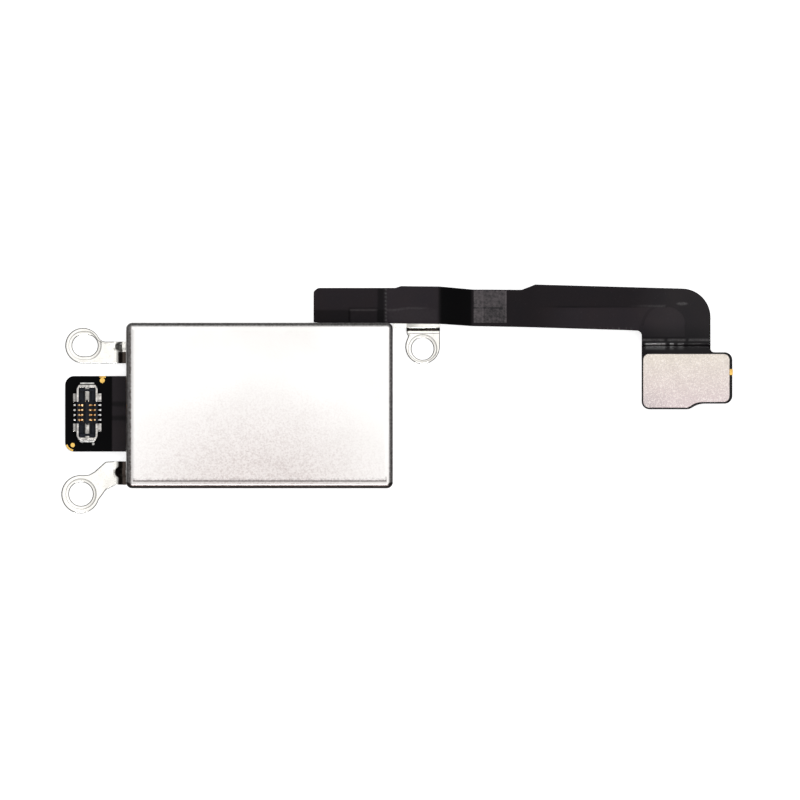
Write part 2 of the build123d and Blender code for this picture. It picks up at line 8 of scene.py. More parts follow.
import bmesh
import bpy
import numpy as np
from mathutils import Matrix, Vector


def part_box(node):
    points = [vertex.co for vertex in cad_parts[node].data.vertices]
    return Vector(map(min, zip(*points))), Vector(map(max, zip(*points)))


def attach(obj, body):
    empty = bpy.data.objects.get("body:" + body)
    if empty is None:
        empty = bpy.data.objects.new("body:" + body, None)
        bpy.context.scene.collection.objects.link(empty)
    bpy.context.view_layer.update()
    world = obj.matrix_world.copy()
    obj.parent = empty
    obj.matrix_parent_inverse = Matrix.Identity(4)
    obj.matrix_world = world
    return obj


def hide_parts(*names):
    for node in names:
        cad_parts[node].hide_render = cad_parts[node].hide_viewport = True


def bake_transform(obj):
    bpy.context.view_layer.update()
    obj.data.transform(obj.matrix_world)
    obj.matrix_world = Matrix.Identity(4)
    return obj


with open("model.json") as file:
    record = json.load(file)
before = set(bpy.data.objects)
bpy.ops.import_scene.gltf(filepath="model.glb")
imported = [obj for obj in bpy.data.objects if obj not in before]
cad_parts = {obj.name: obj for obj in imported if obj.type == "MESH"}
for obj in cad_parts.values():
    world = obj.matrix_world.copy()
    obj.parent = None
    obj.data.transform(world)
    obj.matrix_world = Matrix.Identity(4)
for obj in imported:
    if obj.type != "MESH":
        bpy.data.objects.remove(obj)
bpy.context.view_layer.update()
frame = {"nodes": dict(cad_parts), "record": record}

log = logging.getLogger("vibration_motor")

MM = 0.001
FLOOR_Z = -0.00002
QUARTER = math.pi / 2

Array = np.ndarray
Point = tuple[float, float]


# ---- outlines and profiles ----------------------------------------------------------------------
def rounded_outline(corners: Sequence[tuple[float, float, float]], steps: int = 9) -> Array:
    """A closed outline with each corner replaced by its tangent arc.

    Each arc's centre lies on the corner's bisector, one radius from both sides, and the arc turns
    evenly from one side's normal to the next side's.

    Args:
        corners: (x, y, radius) in millimetres, anticlockwise.
        steps: pieces in each arc.

    Returns:
        An (N, 2) array in millimetres.
    """
    table = np.array(corners, float)
    spots, radii = table[:, :2], table[:, 2]
    into = spots - np.roll(spots, 1, axis=0)
    into /= np.linalg.norm(into, axis=1, keepdims=True)
    out = np.roll(into, -1, axis=0)
    turn = np.arctan2(into[:, 0] * out[:, 1] - into[:, 1] * out[:, 0], (into * out).sum(1))
    share = np.linspace(0, 1, steps + 1)
    reach = radii * np.tan(np.abs(turn) / 2)
    start = spots - into * reach[:, None]
    side = np.sign(turn)[:, None]
    centre = start + side * radii[:, None] * np.stack([-into[:, 1], into[:, 0]], 1)
    first = np.arctan2(*(start - centre).T[::-1])
    angle = first[:, None] + turn[:, None] * share
    arcs = centre[:, None] + radii[:, None, None] * np.stack([np.cos(angle), np.sin(angle)], -1)
    arcs = np.where(radii[:, None, None] > 0, arcs, spots[:, None])
    flat = arcs.reshape(-1, 2)
    apart = np.linalg.norm(flat - np.roll(flat, 1, axis=0), axis=1) > 1e-6
    return flat[apart]


def box_outline(x: Point, y: Point, radius: float, steps: int = 9) -> Array:
    """A rectangle with four equal round corners, anticlockwise, in millimetres."""
    corners = [(x[0], y[0], radius), (x[1], y[0], radius), (x[1], y[1], radius),
               (x[0], y[1], radius)]
    return rounded_outline(corners, steps)


def outward(outline: Array) -> Array:
    """For each point of a closed outline, the mitred outward direction for a unit offset."""
    ahead = np.roll(outline, -1, axis=0) - outline
    ahead /= np.linalg.norm(ahead, axis=1, keepdims=True)
    behind = np.roll(ahead, 1, axis=0)
    normal = np.stack([ahead[:, 1], -ahead[:, 0]], 1) + np.stack([behind[:, 1], -behind[:, 0]], 1)
    normal /= np.linalg.norm(normal, axis=1, keepdims=True)
    cosine = normal[:, 0] * ahead[:, 1] - normal[:, 1] * ahead[:, 0]
    return normal / np.clip(cosine, 0.5, 1)[:, None]


def room(outline: Array) -> float:
    """How far a closed outline can move inwards before one of its edges shrinks to nothing."""
    edge = np.roll(outline, -1, axis=0) - outline
    length = np.linalg.norm(edge, axis=1)
    away = outward(outline)
    shrink = ((np.roll(away, -1, axis=0) - away) * edge).sum(1) / length
    return float(np.min(length / np.maximum(shrink, 1e-9)))


def resample(line: Array, count: int) -> Array:
    """Points evenly spaced by arc length along an open line."""
    gone = np.concatenate([[0], np.cumsum(np.linalg.norm(np.diff(line, axis=0), axis=1))])
    at = np.linspace(0, gone[-1], count)
    return np.stack([np.interp(at, gone, line[:, axis]) for axis in range(line.shape[1])], 1)


def arc_points(centre: Point, radius: float, first: float, last: float, steps: int) -> Array:
    """Points on an arc from one angle to another, in degrees."""
    angle = np.radians(np.linspace(first, last, steps + 1))
    return np.array(centre) + radius * np.stack([np.cos(angle), np.sin(angle)], 1)


def smooth(value: Array, low: float, high: float) -> Array:
    """A smooth step: 0 below low, 1 above high, with level ends."""
    share = np.clip((value - low) / (high - low), 0, 1)
    return share * share * (3 - 2 * share)


def band(value: Array, up: Point, down: Point) -> Array:
    """A smooth step up over the first range and down again over the second."""
    return smooth(value, *up) * (1 - smooth(value, *down))


def stripe(value: Array, at: float, core: float, fade: float) -> Array:
    """A soft stripe: 1 within core of a place, and 0 beyond fade."""
    return 1 - smooth(np.abs(value - at), core, fade)


def spread(side: int, near: float, far: float) -> Point:
    """A range on one side of zero, low limit first."""
    return tuple(sorted((side * near, side * far)))


def quarter_round(inset: float, radius: float, top: float, angles: Array) -> list[Point]:
    """Inset and height round a quarter circle, from a wall to the flat above it."""
    return [(inset + radius * (1 - math.cos(a)), top - radius * (1 - math.sin(a))) for a in angles]


def edge_profile(z: Point, lower: float, upper: float, steps: int = 5) -> tuple[Array, Array]:
    """Inset and height up a plate's rim, with a quarter round at each edge.

    Each quarter round is inset by radius times (1 - cosine). Two more steps inwards on each face,
    at 1.3 and 1.6 times the radius, keep the flat face's shading flat.

    Args:
        z: bottom and top height in millimetres.
        lower: radius of the bottom edge.
        upper: radius of the top edge.
        steps: pieces in each quarter round.

    Returns:
        Insets and heights, from the bottom face's border to the top face's border.
    """
    angle = np.linspace(0, QUARTER, steps + 1)
    low_inset, low_z = lower * (1 - np.sin(angle)), z[0] + lower * (1 - np.cos(angle))
    high_inset, high_z = upper * (1 - np.cos(angle)), z[1] - upper * (1 - np.sin(angle))
    inset = np.concatenate([[lower * 1.6, lower * 1.3], low_inset, high_inset,
                            [upper * 1.3, upper * 1.6]])
    height = np.concatenate([[z[0], z[0]], low_z, high_z, [z[1], z[1]]])
    return inset, height


# ---- meshes -------------------------------------------------------------------------------------
@dataclass
class Shell:
    """Vertices and faces of one or more closed surfaces, in millimetres."""

    points: list[Array] = field(default_factory=list)
    faces: list[list[int]] = field(default_factory=list)

    def _grow(self, points: Array) -> int:
        """Add vertices and return the index of the first."""
        start = sum(len(p) for p in self.points)
        self.points.append(points)
        return start

    def loops(self, rings: Array, caps: bool = True, closed: bool = False) -> "Shell":
        """Join rings of points into a tube.

        Args:
            rings: (R, N, 3) array; each ring is a closed loop, anticlockwise seen from above when
                the rings go upwards, so that faces point out.
            caps: close the first and last ring with one face each.
            closed: join the last ring to the first, as round a torus.

        Returns:
            The shell itself.
        """
        ring_count, size = rings.shape[:2]
        start = self._grow(rings.reshape(-1, 3))
        row = np.arange(ring_count if closed else ring_count - 1)[:, None]
        col = np.arange(size)[None, :]
        above, beside = (row + 1) % ring_count, (col + 1) % size
        quads = np.stack(
            [row * size + col, row * size + beside, above * size + beside, above * size + col], -1
        )
        self.faces += (quads.reshape(-1, 4) + start).tolist()
        if caps and not closed:
            self.faces.append(list(range(start, start + size))[::-1])
            last = start + (ring_count - 1) * size
            self.faces.append(list(range(last, last + size)))
        return self

    def plate(self, outline: Array, z: Point, lower: float = 0.02, upper: float = 0.03,
              lift: Callable[[Array], Array] | None = None) -> "Shell":
        """A flat plate: its rim profile is carried round the outline.

        A point is the outline moved inwards by the profile's inset, at the profile's height.

        Args:
            outline: (N, 2) anticlockwise outline.
            z: bottom and top.
            lower: radius of the bottom edge.
            upper: radius of the top edge.
            lift: extra height as a function of the (x, y) points.

        Returns:
            The shell itself.
        """
        allowed = 0.6 * room(outline)
        inset, height = edge_profile(z, min(lower, allowed), min(upper, allowed))
        flat = outline[None] - outward(outline)[None] * inset[:, None, None]
        level = np.broadcast_to(height[:, None, None], flat.shape[:2] + (1,)).copy()
        if lift is not None:
            level += lift(flat.reshape(-1, 2)).reshape(level.shape)
        return self.loops(np.concatenate([flat, level], -1))

    def block(self, x: Point, y: Point, z: Point, radius: float, lower: float = 0.01,
              upper: float = 0.04) -> "Shell":
        """A plate with a rectangular outline and round corners."""
        return self.plate(box_outline(x, y, radius), z, lower, upper)

    def washer(self, outer: Array, rings: Sequence[tuple[Array, float]], z: Point,
               edge: float = 0.03, lip: float = 0.03) -> "Shell":
        """A plate with a hole: a closed profile carried round both outlines.

        The profile goes up the outer rim, over the top face through the given rings, down the
        hole's wall and back along the underside.

        Args:
            outer: (N, 2) outer outline, matched point by point with the hole's.
            rings: (outline, height) pairs over the top face, from the outside in; the last is the
                hole's own outline at the top of its wall.
            z: bottom and top.
            edge: radius of the rounded outer edges.
            lip: radius of the hole's upper edge.

        Returns:
            The shell itself.
        """
        inset, height = edge_profile(z, min(edge, 0.05), edge)
        rim = outer[None] - outward(outer)[None] * inset[:, None, None]
        hole, hole_top = rings[-1]
        angle = np.linspace(0, QUARTER, 6)
        widen = outward(hole)[None] * (1 - np.sin(angle))[:, None, None]
        upper, lower = hole[None] + lip * widen, hole[None] + 0.03 * widen
        stack = [np.concatenate([r, np.full((len(r), 1), h)], 1) for r, h in zip(rim, height)]
        stack += [np.concatenate([r, np.full((len(r), 1), h)], 1) for r, h in rings[:-1]]
        stack += [np.concatenate([r, np.full((len(r), 1), hole_top - lip * (1 - c))], 1)
                  for r, c in zip(upper, np.cos(angle))]
        stack += [np.concatenate([r, np.full((len(r), 1), z[0] + 0.03 * (1 - c))], 1)
                  for r, c in zip(lower[::-1], np.cos(angle)[::-1])]
        return self.loops(np.array(stack), closed=True)

    def strip(self, middle: Array, thickness: float, span: Point, edge: float = 0.015,
              plane: str = "xz", stations: int = 2) -> "Shell":
        """A bent strip: a line in an upright plane, given thickness, and carried across its width.

        Each side of the strip is the line moved along its mitred normal by half the thickness, and
        the two long edges are drawn in a little to round them. Where the middle line is given for
        each station, the strip's shape changes across its width.

        Args:
            middle: (N, 2) middle line, or (S, N, 2) for one line per station: (x, z) or (y, z) or,
                for plane "xy", (x, y).
            thickness: sheet thickness.
            span: low and high limit across the width.
            edge: radius of the long edges.
            plane: the plane that the line lies in.
            stations: stations across the width.

        Returns:
            The shell itself.
        """
        lines = np.broadcast_to(middle, (stations,) + middle.shape[-2:])
        step = np.diff(lines, axis=1)
        step /= np.linalg.norm(step, axis=2, keepdims=True)
        ahead = np.concatenate([step[:, :1], step[:, :-1] + step[:, 1:], step[:, -1:]], 1)
        ahead /= np.linalg.norm(ahead, axis=2, keepdims=True)
        pair = np.concatenate([step[:, :1], step], 1)
        cosine = np.clip((ahead * pair).sum(2), 0.5, 1)[..., None]
        normal = np.stack([-ahead[..., 1], ahead[..., 0]], -1) / cosine
        slim = thickness / 2 - edge
        across = np.linspace(span[0] + edge, span[1] - edge, stations)
        half = np.full(stations, slim + edge)
        pick = np.concatenate([[0, 0], np.arange(stations), [stations - 1, stations - 1]])
        half = np.concatenate([[slim, slim + edge * 0.7], half, [slim + edge * 0.7, slim]])
        ends = ([span[0], span[0] + edge * 0.3], [span[1] - edge * 0.3, span[1]])
        across = np.concatenate([ends[0], across, ends[1]])
        offset = normal[pick] * half[:, None, None]
        loops = np.concatenate([lines[pick] - offset, (lines[pick] + offset)[:, ::-1]], 1)
        width = np.broadcast_to(across[:, None, None], loops.shape[:2] + (1,))
        solid = np.concatenate([loops, width], -1)
        order = {"xz": (0, 2, 1), "yz": (2, 0, 1), "xy": (0, 1, 2)}[plane]
        return self.loops(solid[..., list(order)])

    def build(self, name: str, sharp: float = 40.0, place: Callable[[Array], Array] | None = None
              ) -> bpy.types.Object:
        """Make the Blender object, in metres, with smooth faces and sharp creases.

        Args:
            name: the object's name.
            sharp: crease angle in degrees.
            place: maps millimetre points to their place.

        Returns:
            The new object, at the origin.
        """
        points = np.concatenate(self.points)
        if place is not None:
            points = place(points)
        mesh = bpy.data.meshes.new(name)
        mesh.from_pydata((points * MM).tolist(), [], self.faces)
        mesh.validate()
        shaped = bmesh.new()
        shaped.from_mesh(mesh)
        bmesh.ops.recalc_face_normals(shaped, faces=shaped.faces)
        shaped.to_mesh(mesh)
        shaped.free()
        mesh.polygons.foreach_set("use_smooth", np.ones(len(mesh.polygons), bool))
        mesh.set_sharp_from_angle(angle=math.radians(sharp))
        mesh.update()
        thing = bpy.data.objects.new(name, mesh)
        bpy.context.collection.objects.link(thing)
        return thing


def paint(thing: bpy.types.Object, name: str, value: Callable[[Array], Array]) -> None:
    """Store a number at each vertex, worked out from its place in millimetres."""
    mesh = thing.data
    points = np.empty(len(mesh.vertices) * 3)
    mesh.vertices.foreach_get("co", points)
    layer = mesh.attributes.new(name, "FLOAT", "POINT")
    layer.data.foreach_set("value", value(points.reshape(-1, 3) / MM).astype(np.float32))


def ruled_sheet(front: Array, rear: Array, middle: Callable[[Array], Array], thickness: float,
                columns: int = 36, edge: float = 0.03,
                relief: Callable[[Array], Array] | None = None) -> Shell:
    """A sheet of even thickness stretched between two rails.

    A point is the mix of the two rails at the same station, and its height is the middle height
    there, plus or minus half the thickness. Beside each rail the sheet thins over one edge width.

    Args:
        front: (S, 2) front rail.
        rear: (S, 2) rear rail, matched station by station.
        middle: height of the sheet's middle as a function of (x, y) points.
        thickness: sheet thickness.
        columns: columns between the rails.
        edge: width and depth of the rounded border.
        relief: extra height of the top face as a function of (x, y) points.

    Returns:
        The sheet.
    """
    width = np.maximum(np.linalg.norm(rear - front, axis=1), 4 * edge)[:, None]
    border = edge / width
    inside = border + np.linspace(0, 1, columns)[None, :] * (1 - 2 * border)
    none = np.zeros_like(border)
    share = np.concatenate([none, border * 0.3, inside, 1 - border * 0.3, none + 1], 1)
    drop = np.concatenate([[edge, edge * 0.35], np.zeros(columns), [edge * 0.35, edge]])
    flat = front[:, None] * (1 - share[..., None]) + rear[:, None] * share[..., None]
    level = middle(flat.reshape(-1, 2)).reshape(flat.shape[:2])
    raised = 0 if relief is None else relief(flat.reshape(-1, 2)).reshape(flat.shape[:2])
    top = np.concatenate([flat, (level + raised + thickness / 2 - drop)[..., None]], -1)
    bottom = np.concatenate([flat, (level - thickness / 2 + drop)[..., None]], -1)
    return Shell().loops(np.concatenate([bottom, top[:, ::-1]], 1))


def rails(*pairs: tuple[Sequence, Sequence, int]) -> tuple[Array, Array]:
    """Join matched stretches of a sheet's front and rear rails.

    Args:
        pairs: (front stretch, rear stretch, stations); each stretch is resampled evenly.

    Returns:
        The whole front rail and the whole rear rail.
    """
    whole = []
    for side in (0, 1):
        lines = [resample(np.array(pair[side], float), pair[2])[:-1] for pair in pairs]
        whole.append(np.concatenate([*lines, np.array(pairs[-1][side], float)[-1:]]))
    return whole[0], whole[1]


def stretches(front: Sequence[Point], rear: Sequence[Point], counts: Sequence[int]) -> list[tuple]:
    """Stretches between neighbouring points of two matched rails, with a station count for each."""
    return [(front[i:i + 2], rear[i:i + 2], count) for i, count in enumerate(counts)]


# ---- places taken from the frame ----------------------------------------------------------------
def span(node: str) -> tuple[Array, Array]:
    """Lowest and highest corner of a CAD node, in millimetres."""
    low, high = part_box(node)
    return np.array(low) / MM, np.array(high) / MM


def mount(name: str) -> Array:
    """A mount's place in millimetres."""
    found = [m for m in frame["record"]["mounts"] if m["name"] == name]
    return np.array(found[0]["pos_m"]) / MM


def joint_place(name: str) -> Array:
    """A hinge's place in millimetres."""
    found = [j for j in frame["record"]["behaviour"]["joints"] if j["name"] == name]
    return np.array(found[0]["pos_m"]) / MM


class Body(Enum):
    """The rigid bodies of the motor."""

    CASE = "case"
    MASS = "moving_mass"
    TAB = "tab"
    TAIL = "tail"
    PAD = "tail_pad"


# ---- shader tools -------------------------------------------------------------------------------
class Graph:
    """A node tree with short calls for adding and linking nodes."""

    def __init__(self, tree: bpy.types.NodeTree) -> None:
        """Keep the tree that the nodes go into."""
        self.tree = tree

    def add(self, kind: str, inputs: dict | None = None, **options: object) -> bpy.types.Node:
        """Add a node.

        Args:
            kind: Blender's name of the node type.
            inputs: socket name or index to a value, or to an output socket that feeds it.
            options: properties set on the node itself.

        Returns:
            The node.
        """
        node = self.tree.nodes.new(kind)
        for name, value in options.items():
            setattr(node, name, value)
        for key, value in (inputs or {}).items():
            socket = node.inputs[key]
            if isinstance(value, bpy.types.NodeSocket):
                self.tree.links.new(value, socket)
            else:
                socket.default_value = value
        return node

    def noise(self, vector: object, scale: float, detail: float = 2.0,
              rough: float = 0.5) -> object:
        """Noise between 0 and 1 at a scale in turns per metre."""
        inputs = {"Vector": vector, "Scale": scale, "Detail": detail, "Roughness": rough}
        return self.add("ShaderNodeTexNoise", inputs).outputs["Fac"]

    def range(self, value: object, low: float, high: float, start: float = 0.0, end: float = 1.0
              ) -> object:
        """Stretch a value from low..high onto start..end, clamped."""
        inputs = {"Value": value, "From Min": low, "From Max": high, "To Min": start, "To Max": end}
        return self.add("ShaderNodeMapRange", inputs).outputs["Result"]

    def math(self, operation: str, first: object, second: object = 0.0) -> object:
        """One step of arithmetic."""
        return self.add("ShaderNodeMath", {0: first, 1: second}, operation=operation).outputs[0]

    def mix(self, share: object, first: object, second: object) -> object:
        """Mix two colours, each a socket or an RGBA value."""
        node = self.add("ShaderNodeMix", {0: share}, data_type="RGBA")
        colours = [socket for socket in node.inputs if socket.type == "RGBA"]
        for socket, value in zip(colours, (first, second)):
            if isinstance(value, bpy.types.NodeSocket):
                self.tree.links.new(value, socket)
            else:
                socket.default_value = value
        return next(socket for socket in node.outputs if socket.type == "RGBA")

    def distance(self, first: object, second: object) -> object:
        """The root of the sum of two squares."""
        squares = [self.math("POWER", self.math("ABSOLUTE", side), 2.0) for side in (first, second)]
        return self.math("SQRT", self.math("ADD", *squares))

    def place(self) -> tuple[object, dict]:
        """Object coordinates, whole and split into X, Y and Z."""
        whole = self.add("ShaderNodeTexCoord").outputs["Object"]
        return whole, self.add("ShaderNodeSeparateXYZ", {0: whole}).outputs


def shader_group(name: str, inputs: dict[str, float], outputs: Sequence[str],
                 fill: Callable[[Graph, dict], dict]) -> bpy.types.NodeTree:
    """Build a shader node group once.

    Args:
        name: the group's name.
        inputs: input names with their usual values.
        outputs: names of the values that it puts out.
        fill: adds the nodes; takes the graph and the input sockets and returns the output sockets.

    Returns:
        The group.
    """
    if name in bpy.data.node_groups:
        return bpy.data.node_groups[name]
    tree = bpy.data.node_groups.new(name, "ShaderNodeTree")
    for label, value in inputs.items():
        socket = tree.interface.new_socket(label, in_out="INPUT", socket_type="NodeSocketFloat")
        socket.default_value = value
    for label in outputs:
        tree.interface.new_socket(label, in_out="OUTPUT", socket_type="NodeSocketFloat")
    graph = Graph(tree)
    entry = graph.add("NodeGroupInput")
    leave = graph.add("NodeGroupOutput")
    made = fill(graph, {label: entry.outputs[label] for label in inputs})
    for label, socket in made.items():
        tree.links.new(socket, leave.inputs[label])
    return tree


def _grain_nodes(graph: Graph, inputs: dict) -> dict:
    """Fine grain for bump, sparse specks and broad clouds, from Object coordinates."""
    place, _ = graph.place()
    fine = graph.noise(place, inputs["Grain Scale"], 3.0, 0.65)
    coarse = graph.noise(place, graph.math("MULTIPLY", inputs["Grain Scale"], 0.37), 1.0)
    speck = graph.noise(place, inputs["Speck Scale"], 2.0, 0.7)
    cloud = graph.noise(place, inputs["Cloud Scale"], 3.0, 0.55)
    height = graph.math("ADD", graph.math("MULTIPLY", fine, 0.6),
                        graph.math("MULTIPLY", coarse, 0.4))
    low = graph.math("SUBTRACT", 0.72, inputs["Speck Share"])
    specks = graph.range(speck, low, 0.82)
    return {"Height": height, "Specks": specks, "Clouds": graph.range(cloud, 0.3, 0.7)}


def grain_group() -> bpy.types.NodeTree:
    """The surface grain that every finish shares."""
    inputs = {"Grain Scale": 12000.0, "Speck Scale": 9000.0, "Speck Share": 0.2,
              "Cloud Scale": 300.0}
    return shader_group("surface_grain", inputs, ("Height", "Specks", "Clouds"), _grain_nodes)


def _rim_shade_nodes(graph: Graph, inputs: dict) -> dict:
    """The painted shade and reflection on a piece's rounded rims: its rim mask, broken up by noise.
    """
    rim = graph.add("ShaderNodeAttribute", attribute_name="rim").outputs["Fac"]
    broken = graph.noise(graph.place()[0], inputs["Break Scale"], 3.0, 0.7)
    shift = graph.math("MULTIPLY", graph.math("SUBTRACT", broken, 0.5), inputs["Break Up"])
    shaken = graph.range(graph.math("ADD", rim, shift), 0.25, 0.75)
    return {"Mask": graph.math("MULTIPLY", shaken, inputs["Amount"])}


def rim_shade_group() -> bpy.types.NodeTree:
    """The painted shade and reflection on rounded rims that formed metal shares."""
    inputs = {"Break Scale": 6000.0, "Break Up": 0.8, "Amount": 1.0}
    return shader_group("rim_painted_shade", inputs, ("Mask",), _rim_shade_nodes)


Colour = tuple[float, float, float]


def rgba(colour: Colour) -> tuple[float, float, float, float]:
    """A colour with full alpha."""
    return (*colour, 1.0)


WHITE = rgba((1.0, 1.0, 1.0))


@dataclass(frozen=True)
class Grain:
    """How coarse a finish is: turns per metre, shares and heights."""

    grain: float = 12000.0
    speck: float = 9000.0
    share: float = 0.2
    cloud: float = 300.0
    bump: float = 0.25
    depth: float = 0.000004


@dataclass
class Blank:
    """A material in the making: its graph, the shared grain's outputs and its Principled shader."""

    material: bpy.types.Material
    graph: Graph
    grain: dict
    shader: bpy.types.Node

    def attribute(self, name: str) -> object:
        """A number painted on the piece's vertices."""
        return self.graph.add("ShaderNodeAttribute", attribute_name=name).outputs["Fac"]

    def feed(self, label: str, socket: object) -> None:
        """Link a value to one of the shader's sockets."""
        self.material.node_tree.links.new(socket, self.shader.inputs[label])

    def finish(self, base: object, roughness: Point, plain: dict[str, float]) -> bpy.types.Material:
        """Feed the colour, let the clouds vary the roughness, and set the shader's own numbers.

        Args:
            base: the colour's socket.
            roughness: least and greatest roughness.
            plain: the shader's own socket names and their values.

        Returns:
            The material.
        """
        self.feed("Base Color", base)
        self.feed("Roughness", self.graph.range(self.grain["Clouds"], 0, 1, *roughness))
        for label, value in plain.items():
            self.shader.inputs[label].default_value = value
        return self.material


def start_material(name: str, grain: Grain) -> Blank:
    """A new material with its Principled shader, the shared grain and a bump that it drives.

    Args:
        name: the material's name.
        grain: how coarse it is.

    Returns:
        The material in the making.
    """
    material = bpy.data.materials.new(name)
    material.use_nodes = True
    material.node_tree.nodes.clear()
    graph = Graph(material.node_tree)
    node = graph.add("ShaderNodeGroup", node_tree=grain_group())
    values = (grain.grain, grain.speck, grain.share, grain.cloud)
    for label, value in zip(("Grain Scale", "Speck Scale", "Speck Share", "Cloud Scale"), values):
        node.inputs[label].default_value = value
    bump = graph.add("ShaderNodeBump", {"Strength": grain.bump, "Distance": grain.depth,
                                        "Height": node.outputs["Height"]})
    shader = graph.add("ShaderNodeBsdfPrincipled", {"Normal": bump.outputs["Normal"]})
    graph.add("ShaderNodeOutputMaterial", {"Surface": shader.outputs["BSDF"]})
    return Blank(material, graph, dict(node.outputs.items()), shader)


@dataclass(frozen=True)
class Drift:
    """A slow change of tone that fades out from a spot on the piece's plan."""

    centre: Point
    radii: Point
    limits: Point
    colour: Colour
    amount: float

    def mask(self, graph: Graph) -> object:
        """How far the change has gone: the distance from the spot in radii, between its limits."""
        _, parts = graph.place()
        sides = [graph.math("DIVIDE", graph.math("SUBTRACT", parts[axis], middle * MM), radius * MM)
                 for axis, middle, radius in zip("XY", self.centre, self.radii)]
        return graph.range(graph.distance(*sides), *self.limits, 0.0, self.amount)


@dataclass(frozen=True)
class Metal:
    """A metal finish: two tones of one colour, specks, and painted shade on its rounded rims."""

    name: str
    light: Colour
    dark: Colour
    speck: Colour
    roughness: tuple[float, float] = (0.3, 0.42)
    grain: Grain = Grain()
    speck_amount: float = 0.4
    rim_shade_colour: Colour = (0.12, 0.11, 0.11)
    rim_shade_amount: float = 0.0
    drift: Drift | None = None

    def material(self) -> bpy.types.Material:
        """Build the material: clouds mix the two tones, specks darken, and painted shade darkens
        the rim.
        """
        blank = start_material(self.name, self.grain)
        graph, grain = blank.graph, blank.grain
        tone = graph.mix(grain["Clouds"], rgba(self.light), rgba(self.dark))
        amount = graph.math("MULTIPLY", grain["Specks"], self.speck_amount)
        if self.drift:
            gone = self.drift.mask(graph)
            tone = graph.mix(gone, tone, rgba(self.drift.colour))
            amount = graph.math("MULTIPLY", grain["Specks"], gone)
        tone = graph.mix(amount, tone, rgba(self.speck))
        # painted shade and reflection: the rim mask darkens the rounded edges towards the rim
        # colour
        if self.rim_shade_amount:
            rim_shade = graph.add("ShaderNodeGroup", node_tree=rim_shade_group())
            rim_shade.inputs["Amount"].default_value = self.rim_shade_amount
            tone = graph.mix(rim_shade.outputs["Mask"], tone, rgba(self.rim_shade_colour))
        return blank.finish(tone, self.roughness, {"Metallic": 1.0})


@dataclass(frozen=True)
class Film:
    """The flex's coverlay: dark film whose tone and gloss follow the piece's attributes."""

    name: str
    dark: Colour
    light: Colour
    warm: Colour
    roughness: Point = (0.42, 0.55)
    grain: Grain = Grain(grain=16000.0, speck=7000.0, share=0.12, cloud=450.0, bump=0.12)
    specular: float = 0.03
    coat: float = 1.0
    coat_roughness: float = 0.11
    fleck_gain: float = 2.4
    fleck_amount: float = 0.35
    scuff_and_highlight_colour: Colour = (0.46, 0.44, 0.445)

    def material(self) -> bpy.types.Material:
        """Build the material: tone mixes dark to light, with painted shade in it; scuffs and
        painted highlights lighten; and gloss sets the coat.
        """
        blank = start_material(self.name, self.grain)
        graph, grain, tone = blank.graph, blank.grain, blank.attribute("tone")
        lit = graph.mix(grain["Clouds"], rgba(self.light), rgba(self.warm))
        base = graph.mix(tone, rgba(self.dark), lit)
        flecks = graph.math("MULTIPLY", graph.math("MULTIPLY", grain["Specks"], tone),
                            self.fleck_amount)
        base = graph.mix(flecks, base, rgba(tuple(self.fleck_gain * c for c in self.light)))
        broken = graph.range(grain["Height"], 0.35, 0.62, 0.35, 1.0)
        scuff_and_highlight = graph.math("MULTIPLY", blank.attribute("scuff_and_highlight"), broken)
        base = graph.mix(scuff_and_highlight, base, rgba(self.scuff_and_highlight_colour))
        coat = graph.range(grain["Clouds"], 0, 1, self.coat * 0.7, self.coat)
        blank.feed("Coat Weight", graph.math("MULTIPLY", blank.attribute("gloss"), coat))
        plain = {"Specular IOR Level": self.specular, "Coat Roughness": self.coat_roughness}
        return blank.finish(base, self.roughness, plain)


@dataclass(frozen=True)
class Moulded:
    """Moulded plastic, rubber, ceramic or board: two close tones and a fine grain."""

    name: str
    light: Colour
    dark: Colour
    roughness: tuple[float, float] = (0.35, 0.5)
    grain: Grain = Grain(grain=14000.0, speck=11000.0, share=0.15, cloud=900.0, bump=0.15)
    specular: float = 0.3
    speck_gain: float = 1.5

    def material(self) -> bpy.types.Material:
        """Build the material: clouds mix the two tones and specks lighten them a little."""
        blank = start_material(self.name, self.grain)
        graph, grain = blank.graph, blank.grain
        base = graph.mix(grain["Clouds"], rgba(self.dark), rgba(self.light))
        bright = tuple(min(1.0, self.speck_gain * c) for c in self.light)
        base = graph.mix(graph.math("MULTIPLY", grain["Specks"], 0.5), base, rgba(bright))
        return blank.finish(base, self.roughness, {"Specular IOR Level": self.specular})


@dataclass(frozen=True)
class Winding:
    """Enamelled copper wire wound in a racetrack: fine turns that follow the coil's outline."""

    name: str
    centre_x: float
    light: Colour = (0.80, 0.36, 0.17)
    dark: Colour = (0.28, 0.09, 0.04)
    roughness: Point = (0.25, 0.35)
    wire: float = 0.09
    straight: float = 2.3
    ridge: float = 0.02

    def material(self) -> bpy.types.Material:
        """Build the material: a turn is a line of equal distance from the coil's middle stretch."""
        blank = start_material(self.name, Grain(bump=0.1))
        graph = blank.graph
        _, parts = graph.place()
        across = graph.math("SUBTRACT", parts["X"], self.centre_x * MM)
        along = graph.math("SUBTRACT", graph.math("ABSOLUTE", parts["Y"]), self.straight * MM)
        reach = graph.distance(across, graph.math("MAXIMUM", along, 0.0))
        turns = graph.math("MULTIPLY", reach, 2 * math.pi / (self.wire * MM))
        wave = graph.range(graph.math("COSINE", turns), -1, 1)
        bumps = graph.add("ShaderNodeBump", {"Strength": 0.6, "Distance": self.ridge * MM,
                                             "Height": wave})
        blank.feed("Normal", bumps.outputs["Normal"])
        # painted shade: the colour darkens in the grooves between turns
        base = graph.mix(wave, rgba(self.dark), rgba(self.light))
        return blank.finish(base, self.roughness, {"Metallic": 1.0})


